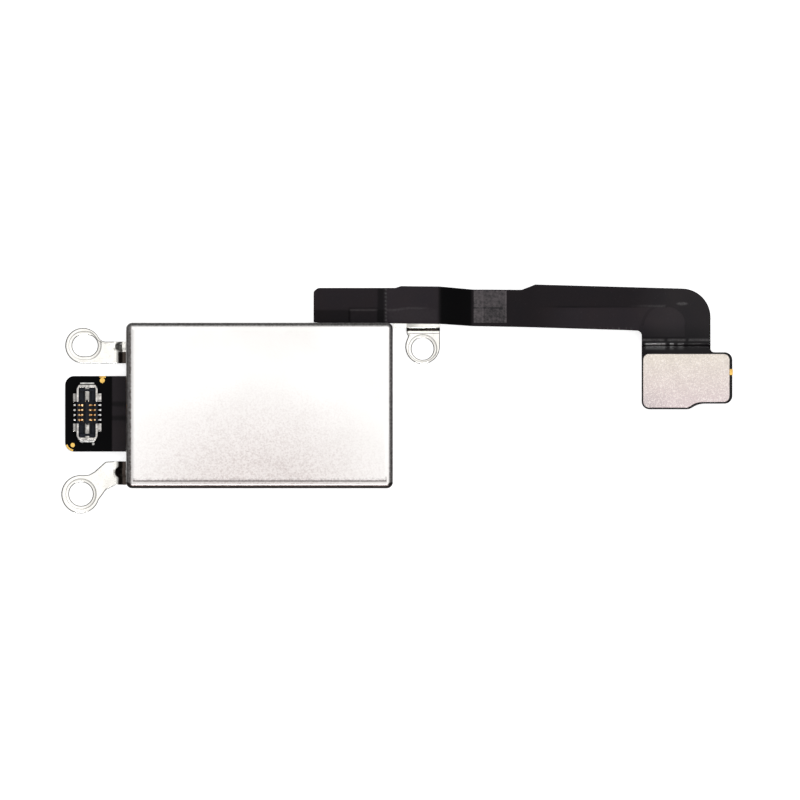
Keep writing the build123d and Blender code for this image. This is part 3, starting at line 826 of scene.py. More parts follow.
# ---- finishes -----------------------------------------------------------------------------------
BLAST = Grain(grain=9000.0, speck=8000.0, share=0.3, cloud=140.0, bump=0.5, depth=0.000009)
# painted shade: the drift turns the lid a darker pinkish grey towards its front, and lets the
# specks show there
COVER_STEEL = Metal("blasted_cover_steel", (0.70, 0.69, 0.68), (0.675, 0.66, 0.645),
                    (0.36, 0.30, 0.29), (0.28, 0.34), BLAST, 0.35, (0.10, 0.083, 0.08), 1.0,
                    Drift((-0.3, -7.0), (11.0, 9.0), (1.05, 0.35), (0.586, 0.548, 0.535), 0.9))
BASE_STEEL = Metal("base_steel", (0.62, 0.61, 0.60), (0.48, 0.47, 0.46), (0.25, 0.24, 0.24),
                   (0.32, 0.45), Grain(grain=7000.0, cloud=250.0), 0.5, (0.10, 0.09, 0.09), 0.6)
LUG_STEEL = Metal("lug_steel", (0.665, 0.655, 0.625), (0.62, 0.605, 0.57), (0.42, 0.39, 0.37),
                  (0.18, 0.28), Grain(grain=8000.0, speck=7000.0, share=0.2, cloud=700.0, bump=0.3),
                  0.35, (0.035, 0.028, 0.024), 1.0)
SOFT_IRON = Metal("soft_iron", (0.50, 0.49, 0.48), (0.38, 0.37, 0.37), (0.2, 0.19, 0.18),
                  (0.35, 0.5))
SPRING_STEEL = Metal("spring_steel", (0.68, 0.67, 0.65), (0.56, 0.55, 0.54), (0.3, 0.29, 0.28),
                     (0.18, 0.28))
TUNGSTEN = Metal("tungsten_alloy", (0.36, 0.35, 0.35), (0.27, 0.265, 0.27), (0.15, 0.15, 0.15),
                 (0.38, 0.5), Grain(grain=6000.0, speck=5000.0, cloud=400.0, bump=0.35))
MAGNET_NICKEL = Metal("magnet_nickel", (0.66, 0.63, 0.58), (0.55, 0.52, 0.48), (0.3, 0.28, 0.25),
                      (0.2, 0.3))
FRAME_METAL = Metal("connector_frame_metal", (0.54, 0.52, 0.495), (0.25, 0.235, 0.225),
                    (0.13, 0.12, 0.115), (0.16, 0.3),
                    Grain(grain=15000.0, speck=9000.0, share=0.3, cloud=4000.0, bump=0.3), 0.5)
PAD_GOLD = Metal("pad_gold", (0.66, 0.43, 0.115), (0.53, 0.32, 0.08), (0.45, 0.26, 0.08),
                 (0.22, 0.36), Grain(grain=15000.0, speck=9000.0, cloud=3000.0, bump=0.2), 0.3)
CONTACT_GOLD = Metal("contact_gold", (0.92, 0.66, 0.36), (0.62, 0.36, 0.16), (0.36, 0.19, 0.09),
                     (0.16, 0.3), Grain(grain=15000.0, speck=9000.0, cloud=4000.0, bump=0.2), 0.3)
SOLDER = Metal("solder", (0.66, 0.65, 0.63), (0.40, 0.39, 0.38), (0.22, 0.21, 0.2), (0.25, 0.42),
               Grain(grain=11000.0, speck=8000.0, cloud=3000.0, bump=0.5))
DATUM_WHITE = Moulded("datum_white", (0.75, 0.74, 0.72), (0.6, 0.59, 0.57))
FLEX_FILM = Film("flex_coverlay", (0.0022, 0.0020, 0.0024), (0.0315, 0.0262, 0.0315),
                 (0.0365, 0.028, 0.0315))
TAPE_FILM = Moulded("tape_film", (0.09, 0.085, 0.08), (0.06, 0.055, 0.05))
CONNECTOR_PLASTIC = Moulded("connector_plastic", (0.012, 0.014, 0.024), (0.004, 0.005, 0.010),
                            (0.3, 0.42), specular=0.12)
STIFFENER_BOARD = Moulded("stiffener_board", (0.007, 0.007, 0.008), (0.004, 0.004, 0.005),
                          (0.4, 0.55))
CHIP_EPOXY = Moulded("chip_epoxy", (0.03, 0.03, 0.032), (0.016, 0.016, 0.018), (0.35, 0.5))
CERAMIC = Moulded("capacitor_ceramic", (0.36, 0.25, 0.16), (0.26, 0.17, 0.10), (0.3, 0.45))
RUBBER = Moulded("stop_rubber", (0.03, 0.03, 0.03), (0.018, 0.018, 0.018), (0.6, 0.75),
                 specular=0.2)


@dataclass(frozen=True)
class PatchFilm:
    """The shield patch: grey metallised film with a woven noise, darker in one quarter."""

    name: str = "patch_film"
    light: Colour = (0.128, 0.112, 0.118)
    dark: Colour = (0.028, 0.026, 0.028)
    roughness: Point = (0.4, 0.55)
    grain: Grain = Grain(grain=9000.0, speck=12000.0, share=0.3, cloud=5200.0, bump=0.35)
    weave: float = 0.9
    fleck: float = 0.3

    def material(self) -> bpy.types.Material:
        """Build the material: fine noise mixes two greys, and the tone attribute shifts the mix."""
        blank = start_material(self.name, self.grain)
        graph, grain = blank.graph, blank.grain
        woven = graph.math("MULTIPLY", graph.math("SUBTRACT", grain["Clouds"], 0.5), self.weave)
        share = graph.math("ADD", blank.attribute("tone"), woven)
        share = graph.math("ADD", share, graph.math("MULTIPLY", grain["Specks"], self.fleck))
        base = graph.mix(graph.range(share, 0, 1), rgba(self.dark), rgba(self.light))
        return blank.finish(base, self.roughness, {"Specular IOR Level": 0.1})


@dataclass(frozen=True)
class BackingPlate:
    """The plate behind the plug: blasted steel with painted shade from cream to a pinkish grey, and
    painted glints.
    """

    name: str = "blasted_backing_plate"
    cream: Colour = (0.80, 0.73, 0.64)
    pink: Colour = (0.72, 0.60, 0.61)
    grey: Colour = (0.48, 0.43, 0.43)
    bright: Colour = (1.0, 0.93, 0.88)
    roughness: Point = (0.42, 0.55)
    grain: Grain = Grain(grain=12000.0, speck=10000.0, share=0.34, cloud=1200.0, bump=0.45)
    shaded_corner: Point = (2.0, 1.3)
    corner_shade_amount: float = 0.75

    def material(self) -> bpy.types.Material:
        """Build the material: painted shade from cream at the back to pinkish in front, darker at
        the front left, and painted glints.
        """
        blank = start_material(self.name, self.grain)
        graph, grain = blank.graph, blank.grain
        place, parts = graph.place()
        low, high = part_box("tail_stiffener")
        base = graph.mix(graph.range(parts["Y"], low[1], high[1]), rgba(self.pink),
                         rgba(self.cream))
        # painted shade: greyer towards the front left corner
        left, front = (graph.range(parts[axis], start + reach * MM, start)
                       for axis, start, reach in zip("XY", low, self.shaded_corner))
        dark_mark = graph.math("MULTIPLY", graph.math("MULTIPLY", left, front), self.corner_shade_amount)
        base = graph.mix(dark_mark, base, rgba(self.grey))
        base = graph.mix(graph.math("MULTIPLY", grain["Specks"], 0.5), base, rgba(self.grey))
        # painted glints: bright specks from noise
        sparkle = graph.range(graph.noise(place, 13000.0, 1.0), 0.5, 0.66, 0.0, 0.6)
        base = graph.mix(sparkle, base, rgba(self.bright))
        return blank.finish(base, self.roughness, {"Metallic": 0.55})


@dataclass
class Palette:
    """Each finish's material, made once."""

    made: dict[str, bpy.types.Material] = field(default_factory=dict)

    def get(self, finish: object) -> bpy.types.Material:
        """The material of a finish."""
        if finish.name not in self.made:
            self.made[finish.name] = finish.material()
        return self.made[finish.name]

    def dress(self, thing: bpy.types.Object, *finishes: object) -> bpy.types.Object:
        """Give a piece its materials, in order."""
        thing.data.materials.clear()
        for finish in finishes:
            thing.data.materials.append(self.get(finish))
        return thing


PALETTE = Palette()


def settle(thing: bpy.types.Object, finish: object, bodies: Body | tuple[Body, Body],
           slot_name: str, *nodes: str, bend: Array | None = None) -> None:
    """Dress a piece, put it on its body or, where it bends, bake its place in the world, and hide
    the CAD nodes that it stands for.

    Args:
        thing: the piece.
        finish: its finish.
        bodies: the body that it rides on, or the bodies before and after its bend.
        slot_name: not used.
        nodes: the CAD nodes that it replaces.
        bend: (2, 3) start and end of the bend, in millimetres.
    """
    PALETTE.dress(thing, finish)
    if bend is None:
        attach(thing, bodies.value)
    else:
        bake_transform(thing)
    if nodes:
        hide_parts(*nodes)
    log.info("%s: %d vertices, on %s", thing.name, len(thing.data.vertices), bodies)


def bend_at(joint: str, half: Sequence[float]) -> Array:
    """Start and end of the bend at a hinge: half a bend before its place, and half after."""
    return joint_place(joint) + np.array([[-1.0], [1.0]]) * np.array(half)


# ---- case ---------------------------------------------------------------------------------------
@dataclass
class Case:
    """The drawn lid and the flat bottom of the motor's case."""

    corner: float = 0.45
    top_radius: float = 0.42
    wall: float = 0.2
    crown: float = 0.014
    crown_width: float = 0.2
    foot_edge: float = 0.03
    root_notch: Point = (4.0, 9.0)
    notch_room: float = 0.1
    notch_rise: float = 0.23
    steps: int = 12

    def tab_notch(self) -> Point:
        """The tab notch's limits along y."""
        low, high = span("left_tab_flex")
        return low[1] - self.notch_room, high[1] + self.notch_room

    def outline(self, spacing: float = 0.5, near: float = 0.002) -> Array:
        """The case's plan outline, with extra points along both ends and at each side of a notch.

        Args:
            spacing: spacing of the extra points along y.
            near: how far a notch's two points lie from its side.

        Returns:
            The outline, in order of angle about the case's middle.
        """
        low, high = span("top_cover")
        line = box_outline((low[0], high[0]), (low[1], high[1]), self.corner, self.steps)
        extra = [(low[0], y + d) for y in self.tab_notch() for d in (-near, near)]
        extra += [(x + d, high[1]) for x in self.root_notch for d in (-near, near)]
        extra += [(x, y) for x in (low[0], high[0])
                  for y in np.arange(low[1] + 1, high[1] - 0.9, spacing)]
        line = np.concatenate([line, np.array(extra)])
        away = (line - line.mean(0)) / ((high - low)[:2] / 2)
        return line[np.argsort(np.arctan2(away[:, 1], away[:, 0]))]

    def foot(self, outline: Array) -> Array:
        """Height of the lid's bottom edge at each outline point, higher over the two notches."""
        low, high = span("top_cover")
        sides = ((0, low[0], 1, self.tab_notch()), (1, high[1], 0, self.root_notch))
        cut = np.zeros(len(outline), bool)
        for axis, wall, along, (start, end) in sides:
            at_wall = np.abs(outline[:, axis] - wall) < 0.01
            cut |= at_wall & (outline[:, along] > start) & (outline[:, along] < end)
        return np.where(cut, span("main_flex")[0][2] + self.notch_rise, low[2] + 0.002)

    def lid(self) -> None:
        """The lid: one profile from the ceiling, down the inside, and up the outside to the top.

        A point is the outline moved inwards by the profile's inset. The profile's quarter rounds
        are inset by radius times (1 - cosine), the top is crowned by a square curve, and the bottom
        edge follows the notches.
        """
        low, high = span("top_cover")
        outline = self.outline()
        away = outward(outline)
        foot = self.foot(outline)
        angle = np.linspace(0, QUARTER, self.steps)
        rim_top = high[2] - self.crown
        inside = quarter_round(self.wall, self.top_radius - self.wall, high[2] - self.wall,
                               angle[::-1])
        outside = quarter_round(0.0, self.top_radius, rim_top, angle)
        outside += [(self.top_radius + self.crown_width * share,
                     high[2] - self.crown * (1 - share) ** 2)
                    for share in np.linspace(0.15, 1, 8)]
        edge = self.foot_edge
        levels = [*inside, (self.wall, foot), (edge, foot), (0.0, foot + edge), *outside]
        rings = []
        half = (high - low)[:2] / 2
        for inset, height in levels:
            deep = max(inset - self.top_radius, 0.0)
            flat = (outline - away * (inset - deep)) * (1 - deep / half)
            rings.append(np.concatenate([flat, np.full(len(flat), height)[:, None]], 1))
        middle = np.array([*(low + high)[:2] / 2, 0.0])
        shrink = np.array([0.985, 0.93, 0.8, 0.6, 0.4, 0.2, 0.02])[:, None, None]
        level = np.array([0.0, 0.0, 1.0])
        inner, outer = ((ring - middle) * (shrink * (1 - level) + level) + middle
                        for ring in (rings[0], rings[-1]))
        thing = Shell().loops(np.array([*inner[::-1], *rings, *outer])).build("case_lid", 50)
        # paint the shade and reflection of the lid's rounded edges
        paint(thing, "rim", self.rim)
        settle(thing, COVER_STEEL, Body.CASE, "cover_steel", "top_cover")

    def rim(self, points: Array) -> Array:
        """Painted shade and reflection on the rounded edge above each side, and a dark line painted
        just behind the front edge.
        """
        low, high = span("top_cover")
        x, y, z = points.T
        below, behind = high[2] - z, y - low[1]
        on_left = 1 - smooth(x - low[0], 0.38, 0.44)
        on_front = 1 - smooth(behind, 0.38, 0.44)
        # painted shade and reflection, darker down each rounded edge
        rest = 0.42 * smooth(below, 0.018, 0.06) * (1 - on_left) * (1 - on_front)
        left = smooth(below, 0.012, 0.019) * (0.62 - 0.3 * smooth(below, 0.04, 0.12)) * on_left
        front = 1.3 * smooth(below, 0.028, 0.066) * on_front
        edges = np.maximum.reduce([rest, left, front]) * (1 - smooth(below, 0.3, 0.5))
        # a dark line painted just behind the front edge
        dark_mark = (0.68 * stripe(behind, 0.52, 0.01, 0.06)
                + 0.4 * band(behind, (0.46, 0.54), (0.54, 0.95)))
        return np.maximum(edges, dark_mark * (below < 0.03) * (x - low[0] > 0.5))

    def pan(self) -> None:
        """The flat bottom plate with softened edges."""
        (x0, y0, z0), (x1, y1, z1) = span("base_plate")
        outline = box_outline((x0, x1), (y0, y1), self.corner, self.steps)
        thing = Shell().plate(outline, (z0, z1), 0.04, 0.03).build("case_pan")
        settle(thing, BASE_STEEL, Body.CASE, "base_steel", "base_plate")

    def make(self) -> None:
        """Build the lid and the pan."""
        self.lid()
        self.pan()


# ---- screw lugs ---------------------------------------------------------------------------------
def reach_at(outline: Array, centre: Array, angle: Array) -> Array:
    """Distance from a centre to a star-shaped outline in each direction."""
    away = outline - centre
    turn = np.arctan2(away[:, 1], away[:, 0])
    order = np.argsort(turn)
    return np.interp(angle, turn[order], np.hypot(*away.T)[order], period=2 * math.pi)


def slot_reach(half_length: float, half_width: float, angle: Array) -> Array:
    """Distance from a slot's centre to its edge: a circle's where the two halves are equal.

    Past the straight sides the edge is a half circle about a centre that lies half_length minus
    half_width along x, and the distance comes from the circle's equation.
    """
    centre = half_length - half_width
    cosine, sine = np.abs(np.cos(angle)), np.abs(np.sin(angle))
    side = half_width / np.maximum(sine, 1e-6)
    end = centre * cosine + np.sqrt(np.maximum(half_width**2 - (centre * sine) ** 2, 0))
    return np.where(side * cosine < centre, side, end)


def polar(centre: Array, reach: Array, angle: Array) -> Array:
    """Points at the given distances and angles about a centre."""
    return centre + reach[:, None] * np.stack([np.cos(angle), np.sin(angle)], 1)


@dataclass
class Lug:
    """A flat ring around a screw hole, with a pressed step, on a stem."""

    centre: Array
    half_length: float
    half_width: float
    step: float = 0.25
    depth: float = 0.04
    thickness: float = 0.25
    margin: float = 0.16
    edge: float = 0.08
    lip: float = 0.08

    def painted_edge_shade(self, points: Array) -> Array:
        """Painted shade and reflection: how far down a rounded edge each point is, outside the
        pressed step and in its hole.
        """
        away = points[:, :2] - self.centre
        angle = np.arctan2(away[:, 1], away[:, 0])
        pressed = 0.03 + slot_reach(self.half_length + self.step, self.half_width + self.step,
                                    angle)
        inside = np.hypot(*away.T) < pressed
        below = self.thickness - points[:, 2]
        lip = smooth(below - self.depth, 0.012, 0.04)
        return np.where(inside, lip, smooth(below, 0.004, 0.02)) * (below > 0)

    def ring(self, outline: Array, spacing: float = 0.035) -> Shell:
        """The flat lug: its outline, the pressed step and the hole, joined along rays.

        Args:
            outline: the lug's outline, star-shaped about the hole's centre.
            spacing: spacing of the points along the outline.

        Returns:
            The flat lug.
        """
        closed = np.concatenate([outline, outline[:1]])
        length = np.linalg.norm(np.diff(closed, axis=0), axis=1).sum()
        rim = resample(closed, int(length / spacing))[:-1]
        away = rim - self.centre
        angle = np.arctan2(away[:, 1], away[:, 0])
        inner = slot_reach(self.half_length, self.half_width, angle)
        coin = slot_reach(self.half_length + self.step, self.half_width + self.step, angle)
        coin = np.minimum(coin, np.hypot(*away.T) - self.margin)
        top, low = self.thickness, self.thickness - self.depth
        levels = [(coin + 0.04, top), (coin + 0.02, top), (coin, top - 0.006),
                  (coin - 0.02, low + 0.005),
                  (coin - 0.04, low), (inner + self.lip * 1.2, low), (inner + self.lip * 1.05, low),
                  (inner, low)]
        rings = [(polar(self.centre, reach, angle), height) for reach, height in levels]
        return Shell().washer(rim, rings, (0.0, top), self.edge, self.lip)


@dataclass
class WallLug(Lug):
    """A lug whose stem turns up onto the case's left wall, with a pressed gusset in the bend."""

    stem_y: Point = (3.0, 4.55)
    gusset: Point = (3.85, 0.5)
    gusset_cut: float = 0.62
    gusset_share: float = 0.8
    gusset_push: float = 0.04
    bend: float = 0.5
    start_x: float = -10.4

    def flange(self, shell: Shell, stations: int = 44) -> Shell:
        """Add the bend and the flange that is welded to the wall.

        The middle line runs level, round the bend and up. At the gusset it is mixed with the
        straight line that cuts across the bend, by a share that falls off to both sides.

        Args:
            shell: the shell to add to.
            stations: stations across the stem.

        Returns:
            The shell.
        """
        half, cut = self.thickness / 2, self.gusset_cut
        upright = span("top_cover")[0][0] - half - 0.002
        reach = self.bend + half
        arc = arc_points((upright - reach, half + reach), reach, -90, 0, 14)
        level = resample(np.array([(self.start_x, half), arc[0]]), 8)
        rise = resample(np.array([arc[-1], (upright, span("rear_left_lug")[1][2])]), 14)
        line = np.concatenate([level[:-1], arc, rise[1:]])
        low_end, high_end = np.array([upright - cut, half]), np.array([upright, half + cut])
        along = np.clip(((line - low_end) @ (high_end - low_end)) / (2 * cut**2), 0, 1)[:, None]
        chord = low_end + along * (high_end - low_end)
        chord = np.where((line[:, :1] > low_end[0]) & (line[:, 1:] < high_end[1]), chord, line)
        across = np.linspace(*self.stem_y, stations)
        share = np.clip(1 - np.abs(across - self.gusset[0]) / self.gusset[1], 0, 1)
        share = smooth(share, 0.0, 0.85)[:, None, None] * self.gusset_share
        lines = line[None] * (1 - share) + chord[None] * share
        lines = lines + share * np.array([-self.gusset_push, self.gusset_push])
        return shell.strip(lines, self.thickness - 0.004, self.stem_y, 0.03, "xz", stations)


@dataclass
class Lugs:
    """The three screw lugs of the case."""

    neck: float = 0.6
    turn: float = 0.14

    def rear_left(self) -> None:
        """The slotted lug at the rear left."""
        ring, radius = np.array([-12.61, 4.27]), 1.26
        stem_low, stem_high, end_x = 3.0, 4.55, -10.28
        rise = stem_high + self.neck - ring[1]
        run = math.sqrt((radius + self.neck) ** 2 - rise**2)
        lean = math.degrees(math.atan2(rise, run))
        outline = np.concatenate([
            arc_points((end_x - self.turn, stem_low + self.turn), self.turn, -90, 0, 6),
            arc_points((end_x - self.turn, stem_high - self.turn), self.turn, 0, 90, 6),
            arc_points((ring[0] + run, stem_high + self.neck), self.neck, -90, lean - 180, 12),
            arc_points(tuple(ring), radius, lean, 270, 90),
        ])
        lug = WallLug(mount("rear_left_slot")[:2], 0.91, 0.765, stem_y=(stem_low, stem_high),
                      gusset=(4.22, 0.34))
        self.settle(lug.flange(lug.ring(outline)), lug, "rear_left_lug_plate", "rear_left_lug")

    def front_left(self) -> None:
        """The round-holed lug at the front left, on its slanting stem."""
        rim = arc_points((-12.79, -6.33), 1.36, 82, 343, 90)
        corners = [(-10.96, -6.0, 0.3), (-10.28, -5.67, self.turn), (-10.28, -3.98, self.turn),
                   (-11.0, -4.02, 0.25), (-11.8, -4.73, 0.3), (-12.2, -4.95, 0.3)]
        stem = rounded_outline([(*rim[-1], 0.0), *corners, (*rim[0], 0.0)], 6)
        outline = np.concatenate([rim, stem[np.hypot(*(stem - rim[-1]).T) > 0.01]])
        lug = WallLug(mount("front_left_screw")[:2], 0.85, 0.85, 0.24, stem_y=(-5.65, -3.98),
                      gusset=(-4.75, 0.45))
        self.settle(lug.flange(lug.ring(outline)), lug, "front_left_lug_plate", "front_left_lug")

    def right(self) -> None:
        """The right lug, its riser, and the shelf that carries the root of the tail."""
        hole = mount("right_screw")[:2]
        low, high = span("right_lug_bracket")
        wall_y = span("top_cover")[1][1]
        left, right = 10.45, high[0]
        half, rise = 0.125, 0.15
        rim = arc_points((hole[0], hole[1] + rise), 1.23, 158, 360, 80)
        corners = [(*rim[-1], 0.0), (right, 5.36, self.turn), (left + 0.02, 5.36, self.turn),
                   (left + 0.02, 5.1, 0.12), (left + 0.15, 4.97, 0.08), (*rim[0], 0.0)]
        side = rounded_outline(corners, 6)
        near = np.minimum(np.hypot(*(side - rim[-1]).T), np.hypot(*(side - rim[0]).T))
        lug = Lug(hole, 0.785, 0.785, 0.24)
        shell = lug.ring(np.concatenate([rim, side[near > 0.01]]))
        top, shelf = high[2], high[2] - half
        profile = [(5.25, half), (5.34, half), (5.38, half + 0.03), (5.56, shelf - 0.03),
                   (5.6, shelf), (5.64, shelf), (8.2, shelf)]
        shell.strip(np.array(profile), 2 * half - 0.004, (left, right), 0.02, "yz")
        # a thin raised bar that carries the crease's painted shade line
        shell.block((left + 0.12, right - 0.06), (5.11, 5.15), (0.2, 0.256), 0.015, 0.005, 0.005)
        shell.block((low[0], left + 0.05), (5.92, 8.2), (top - 0.25, top - 0.002), 0.1, 0.02, 0.02)
        shell.block((9.51, left + 0.05), (5.55, 5.95), (top - 0.25, top - 0.004), 0.03, 0.02, 0.02)
        shell.block((4.4, 8.9), (wall_y + 0.002, wall_y + 0.25), (0.0, top - 0.02), 0.03, 0.03,
                    0.02)
        self.settle(shell, lug, "right_bracket", "right_lug_bracket")

    def settle(self, shell: Shell, lug: Lug, name: str, node: str) -> None:
        """Build a lug and paint shade and reflection on its rounded edges, bends, riser and crease,
        which are darker than its face.
        """
        wall_x = span("top_cover")[0][0]

        def rim(points: Array) -> Array:
            """Painted shade: the edges lie below the top face; the bends are beside the wall and at
            the riser, and the crease line crosses the right lug.
            """
            x, y, z = points.T
            bend = smooth(z, 0.256, 0.30) * (x < wall_x) * np.where(y > 3.82, 0.25, 1.0)
            riser = 2.0 * (x > 10.4) * (y > 5.32) * (y < 5.53)
            crease = 0.62 * (x > 10.4) * (y < 5.2) * (z > 0.251)
            return np.maximum.reduce([lug.painted_edge_shade(points), bend, riser, crease])

        thing = shell.build(name, 35)
        paint(thing, "rim", rim)
        settle(thing, LUG_STEEL, Body.CASE, "lug_steel", node)

    def make(self) -> None:
        """Build the three lugs."""
        self.rear_left()
        self.front_left()
        self.right()


# ---- flex circuit -------------------------------------------------------------------------------
@dataclass
class Flex:
    """The one flex circuit: its plate in the case, its tab, and its tail with leg and pad."""

    thickness: float = 0.15
    raised: float = 0.03
    slope_x: Point = (12.85, 15.2)
    joggle_y: Point = (4.15, 4.40)
    leg_x: float = 25.0
    split_x: float = 16.4
    pad_split_y: float = 3.55
    outer_radius: float = 2.05
    inner_radius: float = 0.36

    def middle(self, points: Array) -> Array:
        """Height of the laminate's middle: level, up the slope, level, and down the joggle."""
        half = self.thickness / 2
        root, tail = span("main_flex")[0][2] + half, span("tail_flex")[1][2] - half
        x, y = points.T
        rise = np.clip((x - self.slope_x[0]) / (self.slope_x[1] - self.slope_x[0]), 0, 1)
        rise = 0.75 * rise + 0.25 * smooth(rise, 0, 1)
        drop = np.where(x > self.leg_x, 1 - smooth(y, *self.joggle_y), 0.0)
        return root + (tail - root) * rise + (self.pad_level() - tail) * drop

    def pad_level(self) -> float:
        """Height of the pad's middle."""
        return joint_place("pad_bend")[2] - 0.25

    def relief(self, points: Array) -> Array:
        """Raised areas over the copper: each is a smooth step across a line on the plan."""
        x, y = points.T
        left = band(x, (6.35, 6.45), (8.35, 8.5)) * (1 - smooth(y, 6.86, 6.98))
        block = band(x, (8.9, 9.0), (12.75, 12.9))
        corner_x, corner_y = 29.0, 5.7
        round_corner = 1 - smooth(np.hypot(x - corner_x, y - corner_y), 1.3, 1.42)
        straight = (1 - smooth(y, 6.95, 7.07)) * (1 - smooth(x, 30.25, 30.37))
        bend = np.where((x > corner_x) & (y > corner_y), round_corner, straight)
        inner = (stripe(np.hypot(x - corner_x, y - 5.5), 1.75, 0.03, 0.1)
                 * (x < 28.4) * (y > corner_y))
        bend = bend * smooth(x, 19.4, 22.5) * (1 - inner * 0.35)
        bend = np.where(y < 5.3, bend * smooth(y, 4.75, 4.9), bend)
        return self.raised * (left + block * 0.8 + bend)

    def steepness(self, points: Array, reach: float = 0.04) -> Array:
        """How steeply the raised areas' borders rise, from 0 to 1."""
        steps = reach * np.eye(2)
        rises = [np.abs(self.relief(points + step) - self.relief(points - step)) for step in steps]
        return np.clip(np.maximum(*rises) / 0.02, 0, 1)

    def tone(self, points: Array) -> Array:
        """Lightness of the film: painted shade on the slope, along the raised areas' borders and in
        the fold over the pad; lighter over raised copper.
        """
        flat = points[:, :2]
        x, y = flat.T
        base = 0.5 + 0.35 * self.relief(flat) / self.raised + 0.2 * (1 - smooth(x, 8.0, 18.0))
        # painted shade: the slope is darkened
        slope = band(x, (12.6, 13.0), (15.0, 15.2))
        dark = band(x, (8.3, 8.5), (8.75, 8.95))
        after = band(x, (17.5, 17.7), (19.0, 20.5))
        shade = (1 - smooth(x, 8.8, 9.0)) * (1 - smooth(y, 6.72, 6.9))
        base = base * (1 - slope) * (1 - 0.6 * dark) * (1 - 0.15 * after) * (1 - 0.55 * shade)
        # painted shade along the raised areas' borders
        base = base * (1 - (0.6 - 0.3 * smooth(x, 22.0, 26.0)) * self.steepness(flat))
        base = base * (1 - 0.6 * (1 - smooth(y, 4.75, 6.1)) * (x > 27.0))
        # painted shade in the fold over the pad
        fold = band(y, (4.44, 4.52), (4.52, 4.58)) * (x > self.leg_x)
        return np.where(points[:, 2] < 0.65, 0.5, base * (1 - 0.8 * fold))

    def dashes(self, x: Array) -> Array:
        """Broken highlights along the joggle over the pad, brightest at the left."""
        marks = ((1.0, 27.4, 27.6, 28.85, 28.95), (0.75, 29.2, 29.26, 29.45, 29.55),
                 (0.45, 29.75, 29.85, 30.15, 30.25), (0.08, 30.5, 30.6, 31.2, 31.9))
        return sum(level * band(x, (a, b), (c, d)) for level, a, b, c, d in marks)

    def gloss(self, points: Array) -> Array:
        """Gloss of the film: low on the flat, high in dashes along the joggle over the pad."""
        x, y, _ = points.T
        joggle = band(y, (3.9, 4.1), (4.44, 4.5)) * (x > self.leg_x)
        return np.clip(0.03 + 0.12 * smooth(x, 26.0, 29.5) + self.dashes(x) * joggle, 0, 1)

    def scuff_and_highlight(self, points: Array) -> Array:
        """Light marks: scuffs at the corner and the front edge's flecks; painted highlights on the
        fold, along the root's ripples and raised edges, and in dashes along the joggle.
        """
        x, y, z = points.T
        on_leg = x > self.leg_x
        gaps = 1 - sum(stripe(x, at, 0.08, 0.16) for at in (28.95, 30.45))
        # painted highlight on the fold's ridge
        fold = band(y, (4.55, 4.62), (4.7, 4.8)) * on_leg * gaps
        corner = 1 - smooth(np.hypot((x - 30.1) / 0.5, (y - 7.25) / 0.14), 0.5, 1.0)
        waves = np.sin(31 * x + 4 * np.sin(5 * x)) * np.sin(7.3 * x)
        flecks = (smooth(waves, 0.45, 0.8) * smooth(x, 22, 24) * (1 - smooth(y, 5.5, 5.62))
                  * (x < 26.8))
        # painted highlights beside the raised areas' edges: border, ridge, left and trace
        border = stripe(x, 8.97, 0.03, 0.1) * (0.35 + 0.25 * np.sin(23 * y))
        ridge = (stripe(y, 6.93 - 0.13 * smooth(x, 10.8, 9.3), 0.03, 0.12)
                 * band(x, (8.9, 9.2), (11.3, 12.4)))
        left = stripe(y, 6.8, 0.03, 0.1) * band(x, (6.3, 6.5), (8.2, 8.5))
        trace = stripe(y, 7.08, 0.03, 0.12) * band(x, (26.0, 28.6), (28.8, 29.0))
        block = band(x, (9.0, 9.4), (12.5, 12.75)) * band(y, (6.0, 6.15), (6.75, 6.9))
        marks = (0.5 * fold + 0.55 * corner + 0.45 * flecks + border + 0.2 * ridge + 0.25 * left
                 + 0.3 * trace + 0.07 * block)
        # painted highlights: bright dashes along the joggle
        lines = stripe(y, 4.385, 0.02, 0.06) + 0.22 * stripe(y, 4.24, 0.02, 0.05)
        marks = 0.33 * marks + self.dashes(x) * lines * on_leg
        return np.where(z < 0.65, 0.0, np.clip(marks, 0, 1))

    def settle(self, shell: Shell, name: str, bodies: Body | tuple[Body, Body], *nodes: str,
               bend: Array | None = None) -> None:
        """Build a stretch of laminate, and mark its film's tone and painted shade, its gloss, and
        its scuffs and painted highlights.

        Args:
            shell: the stretch's shape.
            name: the piece's name.
            bodies: the body that it rides on, or the bodies before and after its bend.
            nodes: the CAD nodes that it replaces.
            bend: start and end of the bend.
        """
        thing = shell.build(name, 50 if bend is not None else 40)
        for label, value in (("tone", self.tone), ("gloss", self.gloss), ("scuff_and_highlight", self.scuff_and_highlight)):
            paint(thing, label, value)
        settle(thing, FLEX_FILM, bodies, "flex_film", *nodes, bend=bend)

    def inside(self) -> None:
        """The plate under the coils, with the neck that leaves by the rear wall."""
        low = span("main_flex")[0][2]
        high = low + self.thickness
        shell = Shell().block((-9.15, 9.15), (-5.2, 5.2), (low, high), 0.3, 0.02, 0.02)
        shell.block((4.1, 8.9), (5.1, 6.05), (low + 0.001, high - 0.001), 0.05, 0.02, 0.02)
        self.settle(shell, "circuit_in_case", Body.CASE, "main_flex")

